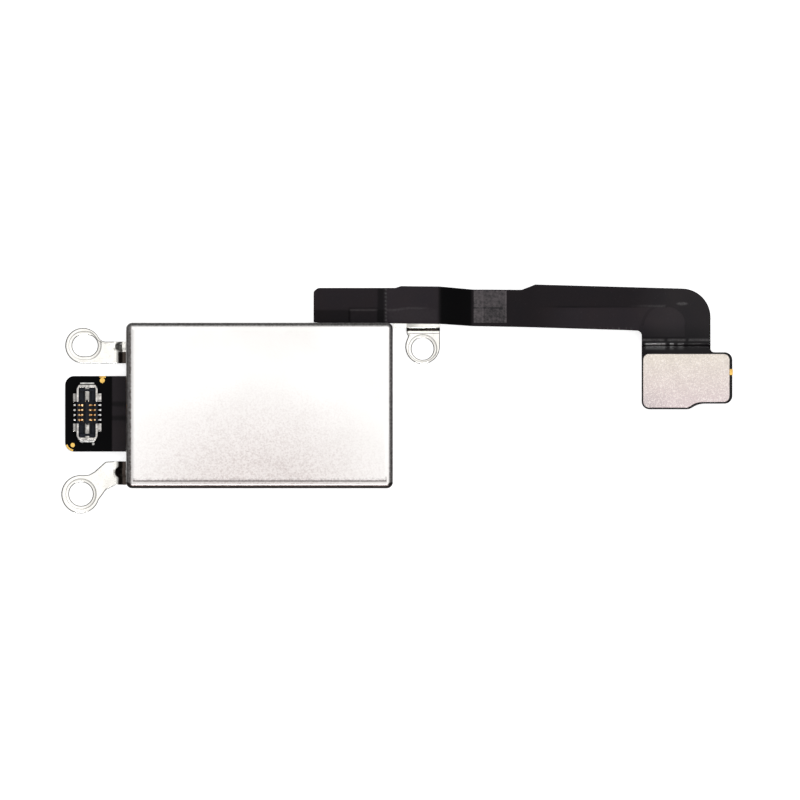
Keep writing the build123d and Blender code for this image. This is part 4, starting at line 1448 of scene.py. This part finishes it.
    def root(self) -> None:
        """The tail's root on the shelf and the slope that rises from it."""
        corner_x, rear_y, radius = 4.29, 8.38, 0.45
        left, (start, end) = corner_x - radius, self.slope_x
        front = [(corner_x, 5.92), (9.67, 5.85), (10.07, 5.845), (start, 5.81), (end, 5.65),
                 (self.split_x, 5.63)]
        rear = [(corner_x, rear_y), (9.67, rear_y), (10.07, 8.51), (start, 8.48), (end, 8.26),
                (self.split_x, 8.255)]
        corner = arc_points((corner_x, rear_y - radius), radius, 180, 90, 8)
        pairs = [([(left, 5.93), front[0]], corner, 10),
                 *stretches(front, rear, (76, 8, 40, 44, 16))]
        shell = ruled_sheet(*rails(*pairs), self.middle, self.thickness, 44, relief=self.relief)
        self.settle(shell, "tail_root_laminate", (Body.CASE, Body.TAIL),
                    bend=bend_at("tail_root_bend", (1.05, 0, 0)))

    def leg(self) -> None:
        """The free tail: along to the corner, round it, down the leg and over the crease."""
        outer_x, inner_x = span("tail_flex")[1][0], span("tail_pad_flex")[0][0]
        inner = arc_points((inner_x - self.inner_radius, 4.97), self.inner_radius, 90, 0, 12)
        outer = arc_points((outer_x - self.outer_radius, 6.28), self.outer_radius, 90, 0, 40)
        front = [(self.split_x, 5.63), (18.67, 5.585), (19.64, 5.56), (26.0, 5.37), (26.86, 5.33)]
        rear = [(self.split_x, 8.255), (18.67, 8.24), (19.64, 8.62), (27.2, 8.41), (30.07, 8.33)]
        down = [[(x, y), (x, self.pad_split_y)] for x, y in ((inner_x, 4.97), (outer_x, 6.28))]
        pairs = [*stretches(front, rear, (32, 16, 96, 44)), (inner, outer, 56), (*down, 60)]
        shell = ruled_sheet(*rails(*pairs), self.middle, self.thickness, 56, relief=self.relief)
        self.settle(shell, "tail_laminate", (Body.TAIL, Body.PAD), "tail_flex",
                    bend=bend_at("pad_bend", (0, -0.32, 0)))

    def pad(self) -> None:
        """The pad under the backing plate, with its stepped front edge."""
        (left, front, _), (right, _, _) = span("tail_pad_flex")
        leg_x, top, step = span("tail_flex")[1][0], 3.79, 0.13
        neck = arc_points((leg_x + 0.26, top + 0.26), 0.26, 270, 180, 6)
        corners = [(left, front, 0.55), (30.6, front, 0.6), (31.3, step, 1.5), (right, step, 0.55),
                   (right, top, 0.55), *[(x, y, 0.0) for x, y in neck],
                   *[(x, self.pad_split_y, 0.0) for x in (leg_x, left)]]
        level, half = self.pad_level(), self.thickness / 2
        shell = Shell().plate(rounded_outline(corners, 10), (level - half, level + half), 0.03,
                              0.03)
        thing = shell.build("tail_pad_laminate")
        paint(thing, "tone", lambda p: np.full(len(p), 0.25))
        paint(thing, "gloss", lambda p: np.full(len(p), 0.2))
        settle(thing, FLEX_FILM, Body.PAD, "flex_film", "tail_pad_flex")

    def make(self) -> None:
        """Build the circuit's stretches."""
        self.inside()
        self.root()
        self.leg()
        self.pad()


@dataclass
class Tab:
    """The short tab at the left: laminate, stiffening board, and bare gold pads."""

    corner: float = 0.65
    thickness: float = 0.15
    start_x: float = -9.2
    grooves: Point = (0.1, -0.9)

    def laminate(self) -> None:
        """The tab's laminate, a sheet whose rails are its front and rear edges."""
        (left, front, _), (_, rear, top) = span("left_tab_flex")
        straight = left + self.corner
        arcs = [arc_points((straight, y), self.corner, 180, end, 10)
                for y, end in ((front + self.corner, 270), (rear - self.corner, 90))]
        lines = [[(straight, y), (self.start_x, y)] for y in (front, rear)]
        level = top - self.thickness / 2
        shell = ruled_sheet(*rails((*arcs, 24), (*lines, 84)), lambda p: np.full(len(p), level),
                            self.thickness, 60, relief=self.relief)
        thing = shell.build("tab_laminate", 50)
        paint(thing, "tone", self.tone)
        paint(thing, "gloss", lambda p: 0.06 * smooth(p[:, 0], -10.6, -10.4))
        settle(thing, FLEX_FILM, (Body.CASE, Body.TAB), "flex_film", "left_tab_flex",
               bend=bend_at("tab_bend", (-0.42, 0, 0)))

    def relief(self, points: Array) -> Array:
        """Two shallow grooves beside the copper on the bending stretch."""
        x, y = points.T
        groove = sum(stripe(y, at, 0.1, 0.2) for at in self.grooves)
        return -0.015 * groove * smooth(x, -10.55, -10.45)

    def tone(self, points: Array) -> Array:
        """Near black over the board, lighter on the bending stretch, with painted shade in the
        grooves.
        """
        x, y, _ = points.T
        groove = sum(stripe(y, at, 0.08, 0.26) for at in self.grooves)
        return smooth(x, -10.56, -10.48) * (0.8 - 0.5 * groove)

    def board(self) -> None:
        """The stiffening board under the tab."""
        (left, front, bottom), (right, rear, top) = span("left_tab_stiffener")
        corners = [(left, front, self.corner), (right, front, 0.08), (right, rear, 0.08),
                   (left, rear, self.corner)]
        outline = rounded_outline(corners, 10)
        thing = Shell().plate(outline, (bottom, top), 0.03, 0.01).build("tab_board")
        settle(thing, STIFFENER_BOARD, Body.TAB, "stiffener_board", "left_tab_stiffener")

    def pads(self) -> None:
        """The bare pads: a bar and a disc at the rear, a disc and a bent bar at the front left."""
        (left, front, _), (_, rear, top) = span("left_tab_flex")
        z = (top - 0.01, top + 0.018)
        centre = (left + self.corner, front + self.corner)
        bar = [arc_points(centre, self.corner - 0.015, 196, 262, 16),
               arc_points(centre, self.corner - 0.16, 262, 196, 16)]
        shell = Shell()
        for outline in (
            arc_points((-11.22, 1.79), 0.19, 0, 352.5, 47),
            arc_points((-13.33, -2.82), 0.16, 0, 352.5, 47),
            box_outline((-11.43, -10.96), (1.985, rear - 0.012), 0.03), np.concatenate(bar),
        ):
            shell.plate(outline, z, 0.005, 0.012)
        settle(shell.build("tab_bare_pads"), PAD_GOLD, Body.TAB, "pad_gold", "tab_ground_pads")

    def datum(self) -> None:
        """The small white datum dot."""
        top = span("left_tab_flex")[1][2]
        shell = Shell().plate(arc_points((-11.86, -2.74), 0.09, 0, 350, 35),
                              (top - 0.01, top + 0.015), 0.004, 0.008)
        settle(shell.build("tab_datum_dot"), DATUM_WHITE, Body.TAB, "pad_gold")

    def make(self) -> None:
        """Build the tab's pieces."""
        self.laminate()
        self.board()
        self.pads()
        self.datum()


# ---- connectors ---------------------------------------------------------------------------------
CONTACT_Y = (0.525, 0.175, -0.175, -0.525)


@dataclass
class Receptacle:
    """The receptacle on the tab, built about its own middle with its length along y."""

    half_width: float = 0.76
    half_length: float = 2.14
    height: float = 0.6
    wall: float = 0.22
    arm: float = 0.17
    frame_start: float = 0.78
    frame_back: float = 1.98
    contact_width: float = 0.13

    def place(self, points: Array) -> Array:
        """Move points from the receptacle's own middle to its place on the tab."""
        low, high = span("receptacle_housing")
        return points + np.array([*((low + high) / 2)[:2], low[2]])

    def housing(self) -> None:
        """Floor, side walls, centre island and end blocks of black plastic."""
        half, end = self.half_width, self.half_length
        shell = Shell().block((-half, half), (-end + 0.25, end - 0.2), (0.0, 0.12), 0.12,
                              upper=0.02)
        for side in (-1, 1):
            shell.block(spread(side, half - self.wall, half - 0.01), (-1.02, 1.02), (0.1, 0.52),
                        0.04)
        shell.block((-0.14, 0.14), (-0.78, 0.78), (0.1, 0.46), 0.05, upper=0.05)
        for turn in (-1, 1):
            shell.block((-0.56, 0.56), spread(turn, 1.5, 1.8), (0.1, 0.5), 0.05)
            for side in (-1, 1):
                shell.block(spread(side, 0.3, 0.58), spread(turn, 0.86, 1.5), (0.1, 0.34), 0.04)
        thing = shell.build("receptacle_body", 35, self.place)
        settle(thing, CONNECTOR_PLASTIC, Body.TAB, "connector_plastic", "receptacle_housing")

    def frame_outline(self) -> Array:
        """The U of one end frame, with chamfered outer and round inner corners."""
        half, back, arm, start = self.half_width, self.frame_back, self.arm, self.frame_start
        right = [(half - arm, back - 0.2, 0.12), (half - arm, start, 0.05), (half, start, 0.05),
                 (half, back - 0.3, 0.05), (half - 0.16, back, 0.05)]
        left = [(-x, y, radius) for x, y, radius in right[::-1]]
        corners = left[2:] + right + left[:2]
        return rounded_outline(corners, 5)

    def frames(self) -> None:
        """Two end frames, each with side feet, an end foot and a tongue down into the well."""
        shell, high = Shell(), self.height
        foot = np.array([(0.70, 0.55), (0.785, 0.53), (0.8, 0.2), (0.83, 0.05), (1.0, 0.035)])
        tongue = np.array([(1.86, 0.56), (1.70, 0.52), (1.62, 0.40), (1.5, 0.33), (1.0, 0.27),
                           (0.74, 0.22), (0.68, 0.16)])
        for turn in (-1, 1):
            shell.plate(turn * self.frame_outline(), (high - 0.1, high), 0.02, 0.035)
            for side in (-1, 1):
                shell.strip(foot * (side, 1), 0.05, spread(turn, self.frame_start, 1.36), 0.02,
                            "xz", 4)
            shell.strip(tongue * (turn, 1), 0.06, (-0.155, 0.155), 0.025, "yz", 4)
        thing = shell.build("receptacle_frames", 35, self.place)
        settle(thing, FRAME_METAL, Body.TAB, "frame_metal", "receptacle_end_frames")

    def solder(self) -> None:
        """Solder along both ends and a fillet at each contact's tail."""
        shell = Shell()
        for y in ((2.01, 2.14), (-2.12, -1.96)):
            shell.block((-0.52, 0.52), y, (0.0, 0.16), 0.06, upper=0.03)
        for y in CONTACT_Y:
            shell.block((-0.99, -0.80), (y - 0.065, y + 0.065), (0.0, 0.1), 0.05, upper=0.05)
            corners = [(0.78, y - 0.03, 0.02), (1.0, y - 0.08, 0.03), (1.0, y + 0.08, 0.03),
                       (0.78, y + 0.03, 0.02)]
            shell.plate(rounded_outline(corners, 4), (0.0, 0.1), 0.01, 0.04)
        settle(shell.build("receptacle_solder", 50, self.place), SOLDER, Body.TAB, "frame_metal")

    def contacts(self) -> None:
        """Eight contacts: over the wall's inner edge, down the well and up beside the island."""
        shell, half = Shell(), self.contact_width / 2
        left = [(-0.645, 0.46), (-0.64, 0.545), (-0.60, 0.565), (-0.53, 0.565), (-0.515, 0.5),
                (-0.505, 0.24), (-0.49, 0.18), (-0.46, 0.2), (-0.44, 0.36), (-0.40, 0.41),
                (-0.30, 0.41), (-0.25, 0.36), (-0.23, 0.2)]
        right = [(0.62, 0.46), (0.61, 0.545), (0.585, 0.565), (0.54, 0.565), (0.52, 0.5),
                 (0.50, 0.40), (0.40, 0.31), (0.22, 0.22), (0.17, 0.24), (0.15, 0.40)]
        for y in CONTACT_Y:
            for line in (left, right):
                shell.strip(np.array(line), 0.035, (y - half, y + half), 0.014, "xz", 3)
        thing = shell.build("receptacle_springs", 45, self.place)
        settle(thing, CONTACT_GOLD, Body.TAB, "contact_gold", "receptacle_contacts")

    def make(self) -> None:
        """Build the receptacle."""
        self.housing()
        self.frames()
        self.solder()
        self.contacts()


@dataclass
class Plug:
    """The plug under the tail's end, built upside down about its own middle."""

    half_width: float = 0.55
    half_length: float = 1.8
    inner: float = 0.28
    height: float = 0.5
    contact_half: float = 0.085

    def place(self, points: Array) -> Array:
        """Turn points half over and quarter round, and hang them under the pad."""
        low, high = span("plug_housing")
        middle = (low + high) / 2
        return np.stack([middle[0] + points[:, 1], middle[1] + points[:, 0],
                         high[2] - points[:, 2]], 1)

    def housing(self) -> None:
        """A long ring of plastic around an open well, on a floor."""
        outer = box_outline((-self.half_width, self.half_width), (-1.42, 1.42), 0.1, 8)
        inner = box_outline((-self.inner, self.inner), (-1.15, 1.15), 0.08, 8)
        rim, well = (resample(np.concatenate([line, line[:1]]), count)[:-1]
                     for line, count in ((outer, 241), (inner, 400)))
        middle = np.zeros(2)
        angle = np.arctan2(rim[:, 1], rim[:, 0])
        hole = polar(middle, reach_at(well, middle, angle), angle)
        shell = Shell().plate(outer, (0.0, 0.12), 0.01, 0.02)
        shell.washer(rim, [(hole, self.height)], (0.05, self.height), 0.04)
        thing = shell.build("plug_body", 35, self.place)
        settle(thing, CONNECTOR_PLASTIC, Body.PAD, "connector_plastic", "plug_housing")

    def contacts(self) -> None:
        """Eight contacts, each from its tail, up the wall's outside and over into the well."""
        line = np.array([(0.94, 0.035), (0.66, 0.035), (0.61, 0.07), (0.585, 0.16), (0.585, 0.46),
                         (0.55, 0.525), (0.48, 0.545), (0.34, 0.545), (0.27, 0.52), (0.25, 0.45),
                         (0.25, 0.2), (0.22, 0.14)])
        shell, half = Shell(), self.contact_half
        for side in (-1, 1):
            for y in CONTACT_Y:
                shell.strip(line * (side, 1), 0.05, (y - half, y + half), 0.02, "xz", 3)
        thing = shell.build("plug_springs", 45, self.place)
        settle(thing, CONTACT_GOLD, Body.PAD, "contact_gold", "plug_contacts")

    def ends(self) -> None:
        """A folded metal cap at each end, with a foot at each side."""
        foot = np.array([(0.5, 0.3), (0.565, 0.28), (0.6, 0.05), (0.64, 0.035), (0.94, 0.035)])
        shell = Shell()
        for turn in (-1, 1):
            y = spread(turn, 1.43, self.half_length)
            shell.block((-0.54, 0.54), y, (0.0, 0.49), 0.08, upper=0.06)
            for side in (-1, 1):
                shell.strip(foot * (side, 1), 0.06, y, 0.02, "xz", 3)
        thing = shell.build("plug_end_caps", 45, self.place)
        settle(thing, FRAME_METAL, Body.PAD, "contact_gold", "plug_end_contacts")

    def make(self) -> None:
        """Build the plug."""
        self.housing()
        self.contacts()
        self.ends()


@dataclass
class TailEnd:
    """What the tail carries: the shield patch, the backing plate, the test pad and the tape."""

    fold_x: float = 15.94
    fold_y: float = 6.95

    def backing(self) -> None:
        """The backing plate, whose front edge steps up to the right in a smooth S."""
        (left, front, bottom), (right, rear, top) = span("tail_stiffener")
        corners = [(left, front, 0.42), (30.5, front, 0.5), (31.2, 0.25, 1.5), (right, 0.25, 0.42),
                   (right, rear, 0.42), (left, rear, 0.42)]
        shell = Shell().plate(rounded_outline(corners, 12), (bottom, top), 0.01, 0.03)
        settle(shell.build("backing_plate"), BackingPlate(), Body.PAD, "stiffener_steel",
               "tail_stiffener")

    def test_pad(self) -> None:
        """The bare pad at the right edge."""
        (left, front, bottom), (right, rear, top) = span("tail_test_pad")
        shell = Shell().block((left - 0.02, right - 0.005), (front, rear), (bottom - 0.12, top),
                              0.05, upper=0.01)
        settle(shell.build("edge_test_pad"), PAD_GOLD, Body.PAD, "pad_gold", "tail_test_pad")

    def tape(self) -> None:
        """The tape between the shelf and the tail's root."""
        x, y, z = zip(*span("shelf_tape"))
        shell = Shell().block(x, y, z, 0.1, upper=0.01)
        settle(shell.build("root_tape"), TAPE_FILM, Body.CASE, "tape_film", "shelf_tape")

    def patch(self, count: int = 60) -> None:
        """The shield patch, with a fold line near its left edge and one along its middle."""
        (left, front, bottom), (right, rear, top) = span("shield_patch")
        ends = [[(left, y), (right, y)] for y in (front, rear)]
        level = (bottom + top) / 2
        shell = ruled_sheet(*rails((*ends, count)), lambda p: np.full(len(p), level), top - bottom,
                            count, 0.012, self.folds)
        thing = shell.build("shield_patch_film", 50)
        paint(thing, "tone", self.patch_tone)
        settle(thing, PatchFilm(), Body.TAIL, "patch_film", "shield_patch")

    def folds(self, points: Array) -> Array:
        """Grooves at the patch's two fold lines."""
        x, y = points.T
        line = stripe(y, self.fold_y, 0.02, 0.07)
        return -0.012 * np.maximum(stripe(x, self.fold_x, 0.015, 0.05), line * 0.7)

    def patch_tone(self, points: Array) -> Array:
        """Lightness of the patch: light at its right border, dark in the right front quarter,
        painted shade in the middle fold and a painted highlight along the fold near its left edge.
        """
        x, y, _ = points.T
        right = span("shield_patch")[1][0]
        quarter = smooth(x, 15.9, 16.0) * (1 - smooth(y, 6.9, 7.0))
        tone = 0.62 - 0.12 * smooth(x, 15.9, 15.98) - 0.24 * quarter
        # painted shade in the middle fold's groove
        tone = tone - 0.5 * stripe(y, self.fold_y, 0.03, 0.08) * (x < right - 0.25)
        # painted highlight along the fold near the left edge
        tone = tone + 0.25 * stripe(x, 15.9, 0.02, 0.07)
        return tone + 0.45 * smooth(x, right - 0.14, right - 0.06)

    def make(self) -> None:
        """Build the pieces on the tail."""
        self.backing()
        self.test_pad()
        self.patch()
        self.tape()


# ---- inside the case ----------------------------------------------------------------------------
@dataclass
class Interior:
    """The stator and the moving mass: the springs are rebuilt, and the rest keep their shape."""

    bend: float = 0.35
    thick: float = 0.15
    weld_y: float = 4.5
    turn_y: float = 2.6
    fold_y: float = -4.6
    fold_half: float = 0.4

    def spring(self, turn: int) -> None:
        """A leaf spring, which stretches between the case and the moving mass.

        The strip's line runs from its weld on the mass, slants to the fold, turns, and comes back
        to its weld on the case; the left spring is the right one turned half round.

        Args:
            turn: 1 for the right spring, -1 for the left.
        """
        node = "right_spring" if turn > 0 else "left_spring"
        low, high = span(node)
        start, end = (x + shift * self.thick / 2
                      for x, shift in zip(spread(turn, low[0], high[0]), (1, -1)))
        fold = (start + end) / 2
        corners = [(start, self.weld_y, 0.0), (start, self.turn_y, self.bend),
                   (fold - self.fold_half, self.fold_y, self.bend),
                   (fold + self.fold_half, self.fold_y, self.bend), (end, self.turn_y, self.bend),
                   (end, self.weld_y, 0.0)]
        line = turn * resample(rounded_outline(corners, 8), 120)
        shell = Shell().strip(line, self.thick, (low[2], high[2]), 0.015, "xy", 4)
        reach = np.array([(turn * end, 0.0, low[2]), (turn * start, 0.0, low[2])])
        settle(shell.build(f"{node}_leaf", 40), SPRING_STEEL, (Body.CASE, Body.MASS),
               "spring_steel", node, bend=reach)

    def dress_nodes(self) -> None:
        """Give each carried-over node its finish."""
        groups = {
            SOFT_IRON: ("stator_yoke", "mass_yoke"), CHIP_EPOXY: ("hall_sensor", "memory_chip"),
            CERAMIC: ("chip_capacitors",), SPRING_STEEL: ("case_weld_plates", "mass_weld_plates"),
            RUBBER: ("right_bumper", "left_bumper"), TUNGSTEN: ("mass_frame",),
            MAGNET_NICKEL: ("left_magnet", "centre_magnet", "right_magnet"),
        }
        for coil in ("left_coil", "right_coil"):
            low, high = span(coil)
            groups[Winding(f"winding_{coil}", (low[0] + high[0]) / 2)] = (coil,)
        for finish, names in groups.items():
            for name in names:
                PALETTE.dress(frame["nodes"][name], finish)
                log.info("%s: keeps its shape, finish %s", name, finish.name)

    def make(self) -> None:
        """Build the springs and dress the rest."""
        self.spring(1)
        self.spring(-1)
        self.dress_nodes()


# ---- studio -------------------------------------------------------------------------------------
@dataclass
class Studio:
    """Plain pale floor, soft light from above, and a camera looking straight down."""

    target: Point = (10.0, 0.39)
    view_width: float = 57.0
    focus: float = 1.2
    lens: float = 800.0
    sensor: float = 36.0
    key_level: float = 1.0
    front_level: float = 32.0
    sky: float = 0.9
    ground: float = 0.17
    under: float = 0.75
    paper: float = 0.93
    floor_glow: float = 0.72
    floor_half: float = 0.6

    def floor(self) -> None:
        """A wide pale sheet just under the case; from below it lets the camera see through."""
        half = self.floor_half
        mesh = bpy.data.meshes.new("studio_floor")
        corners = [(x * half, y * half, FLOOR_Z) for x, y in ((-1, -1), (1, -1), (1, 1), (-1, 1))]
        mesh.from_pydata(corners, [], [(0, 1, 2, 3)])
        thing = bpy.data.objects.new("studio_floor", mesh)
        bpy.context.collection.objects.link(thing)
        material = bpy.data.materials.new("studio_paper")
        material.use_nodes = True
        material.node_tree.nodes.clear()
        graph = Graph(material.node_tree)
        paper = graph.add("ShaderNodeBsdfDiffuse", {"Color": rgba((self.paper,) * 3)})
        glow = graph.add("ShaderNodeEmission", {"Color": WHITE, "Strength": self.floor_glow})
        lit = graph.add("ShaderNodeAddShader", {0: paper.outputs[0], 1: glow.outputs[0]})
        clear = graph.add("ShaderNodeBsdfTransparent")
        back = graph.add("ShaderNodeNewGeometry").outputs["Backfacing"]
        mix = graph.add("ShaderNodeMixShader", {0: back, 1: lit.outputs[0], 2: clear.outputs[0]})
        graph.add("ShaderNodeOutputMaterial", {"Surface": mix.outputs[0]})
        mesh.materials.append(material)
        thing.visible_glossy = False
        thing.visible_diffuse = False

    def world(self) -> None:
        """A bright dome that falls off towards its horizon and four sides, lit from below."""
        world = bpy.data.worlds.new("studio_world")
        bpy.context.scene.world = world
        world.use_nodes = True
        world.node_tree.nodes.clear()
        graph = Graph(world.node_tree)
        way = graph.add("ShaderNodeTexCoord").outputs["Generated"]
        parts = graph.add("ShaderNodeSeparateXYZ", {0: way}).outputs
        left, front = (graph.math("MULTIPLY", parts[axis], -1.0) for axis in "XY")
        level = graph.range(parts["Z"], 0.0, 0.62, self.ground, self.sky)
        for side, low, high, least in ((left, 0.3, 0.6, 0.35), (parts["X"], 0.45, 0.75, 0.35),
                                       (parts["Y"], 0.6, 0.95, 0.35), (front, 0.45, 0.75, 0.3)):
            level = graph.math("MULTIPLY", level, graph.range(side, low, high, 1.0, least))
        level = graph.math("MAXIMUM", level, graph.range(parts["Z"], -0.35, -0.8, 0.0, self.under))
        glow = graph.add("ShaderNodeBackground", {"Color": WHITE, "Strength": level})
        graph.add("ShaderNodeOutputWorld", {"Surface": glow.outputs[0]})

    def light(self, name: str, place: tuple[float, float, float], size: Point, level: float,
              tilt: float = 0.0) -> bpy.types.Object:
        """A soft rectangular light.

        Args:
            name: the light's name.
            place: where it stands, in metres.
            size: its width and height in metres.
            level: how bright its face is; the power is pi times the area times this.
            tilt: turn about the x axis in degrees; 0 shines straight down.

        Returns:
            The light.
        """
        lamp = bpy.data.lights.new(name, "AREA")
        lamp.shape = "RECTANGLE"
        lamp.size, lamp.size_y = size
        lamp.energy = math.pi * size[0] * size[1] * level
        thing = bpy.data.objects.new(name, lamp)
        bpy.context.collection.objects.link(thing)
        thing.location = place
        thing.rotation_euler = (math.radians(tilt), 0.0, 0.0)
        thing.visible_camera = False
        return thing

    def camera(self) -> None:
        """A long lens straight above the motor."""
        data = bpy.data.cameras.new("studio_camera")
        data.lens, data.sensor_width = self.lens, self.sensor
        data.clip_start, data.clip_end = 0.01, 10.0
        thing = bpy.data.objects.new("studio_camera", data)
        bpy.context.collection.objects.link(thing)
        height = self.focus * MM + self.view_width * MM * self.lens / self.sensor
        thing.location = (self.target[0] * MM, self.target[1] * MM, height)
        bpy.context.scene.camera = thing

    def make(self) -> None:
        """Set the stage."""
        self.floor()
        self.world()
        self.light("key_light", (0.26, 0.22, 0.8), (0.72, 0.70), self.key_level)
        front = self.light("front_light", (0.01, -0.35, 0.30), (0.24, 0.06), self.front_level, 49.0)
        front.visible_diffuse = False
        self.camera()
        bpy.context.scene.view_settings.view_transform = "Standard"


# ---- make everything ----------------------------------------------------------------------------
def main() -> None:
    """Build every piece in order."""
    logging.basicConfig(level=logging.INFO, format="%(message)s")
    for part in (Case(), Lugs(), Flex(), Tab(), Receptacle(), TailEnd(), Plug(), Interior(),
                 Studio()):
        part.make()


if __name__ == "__main__":
    main()
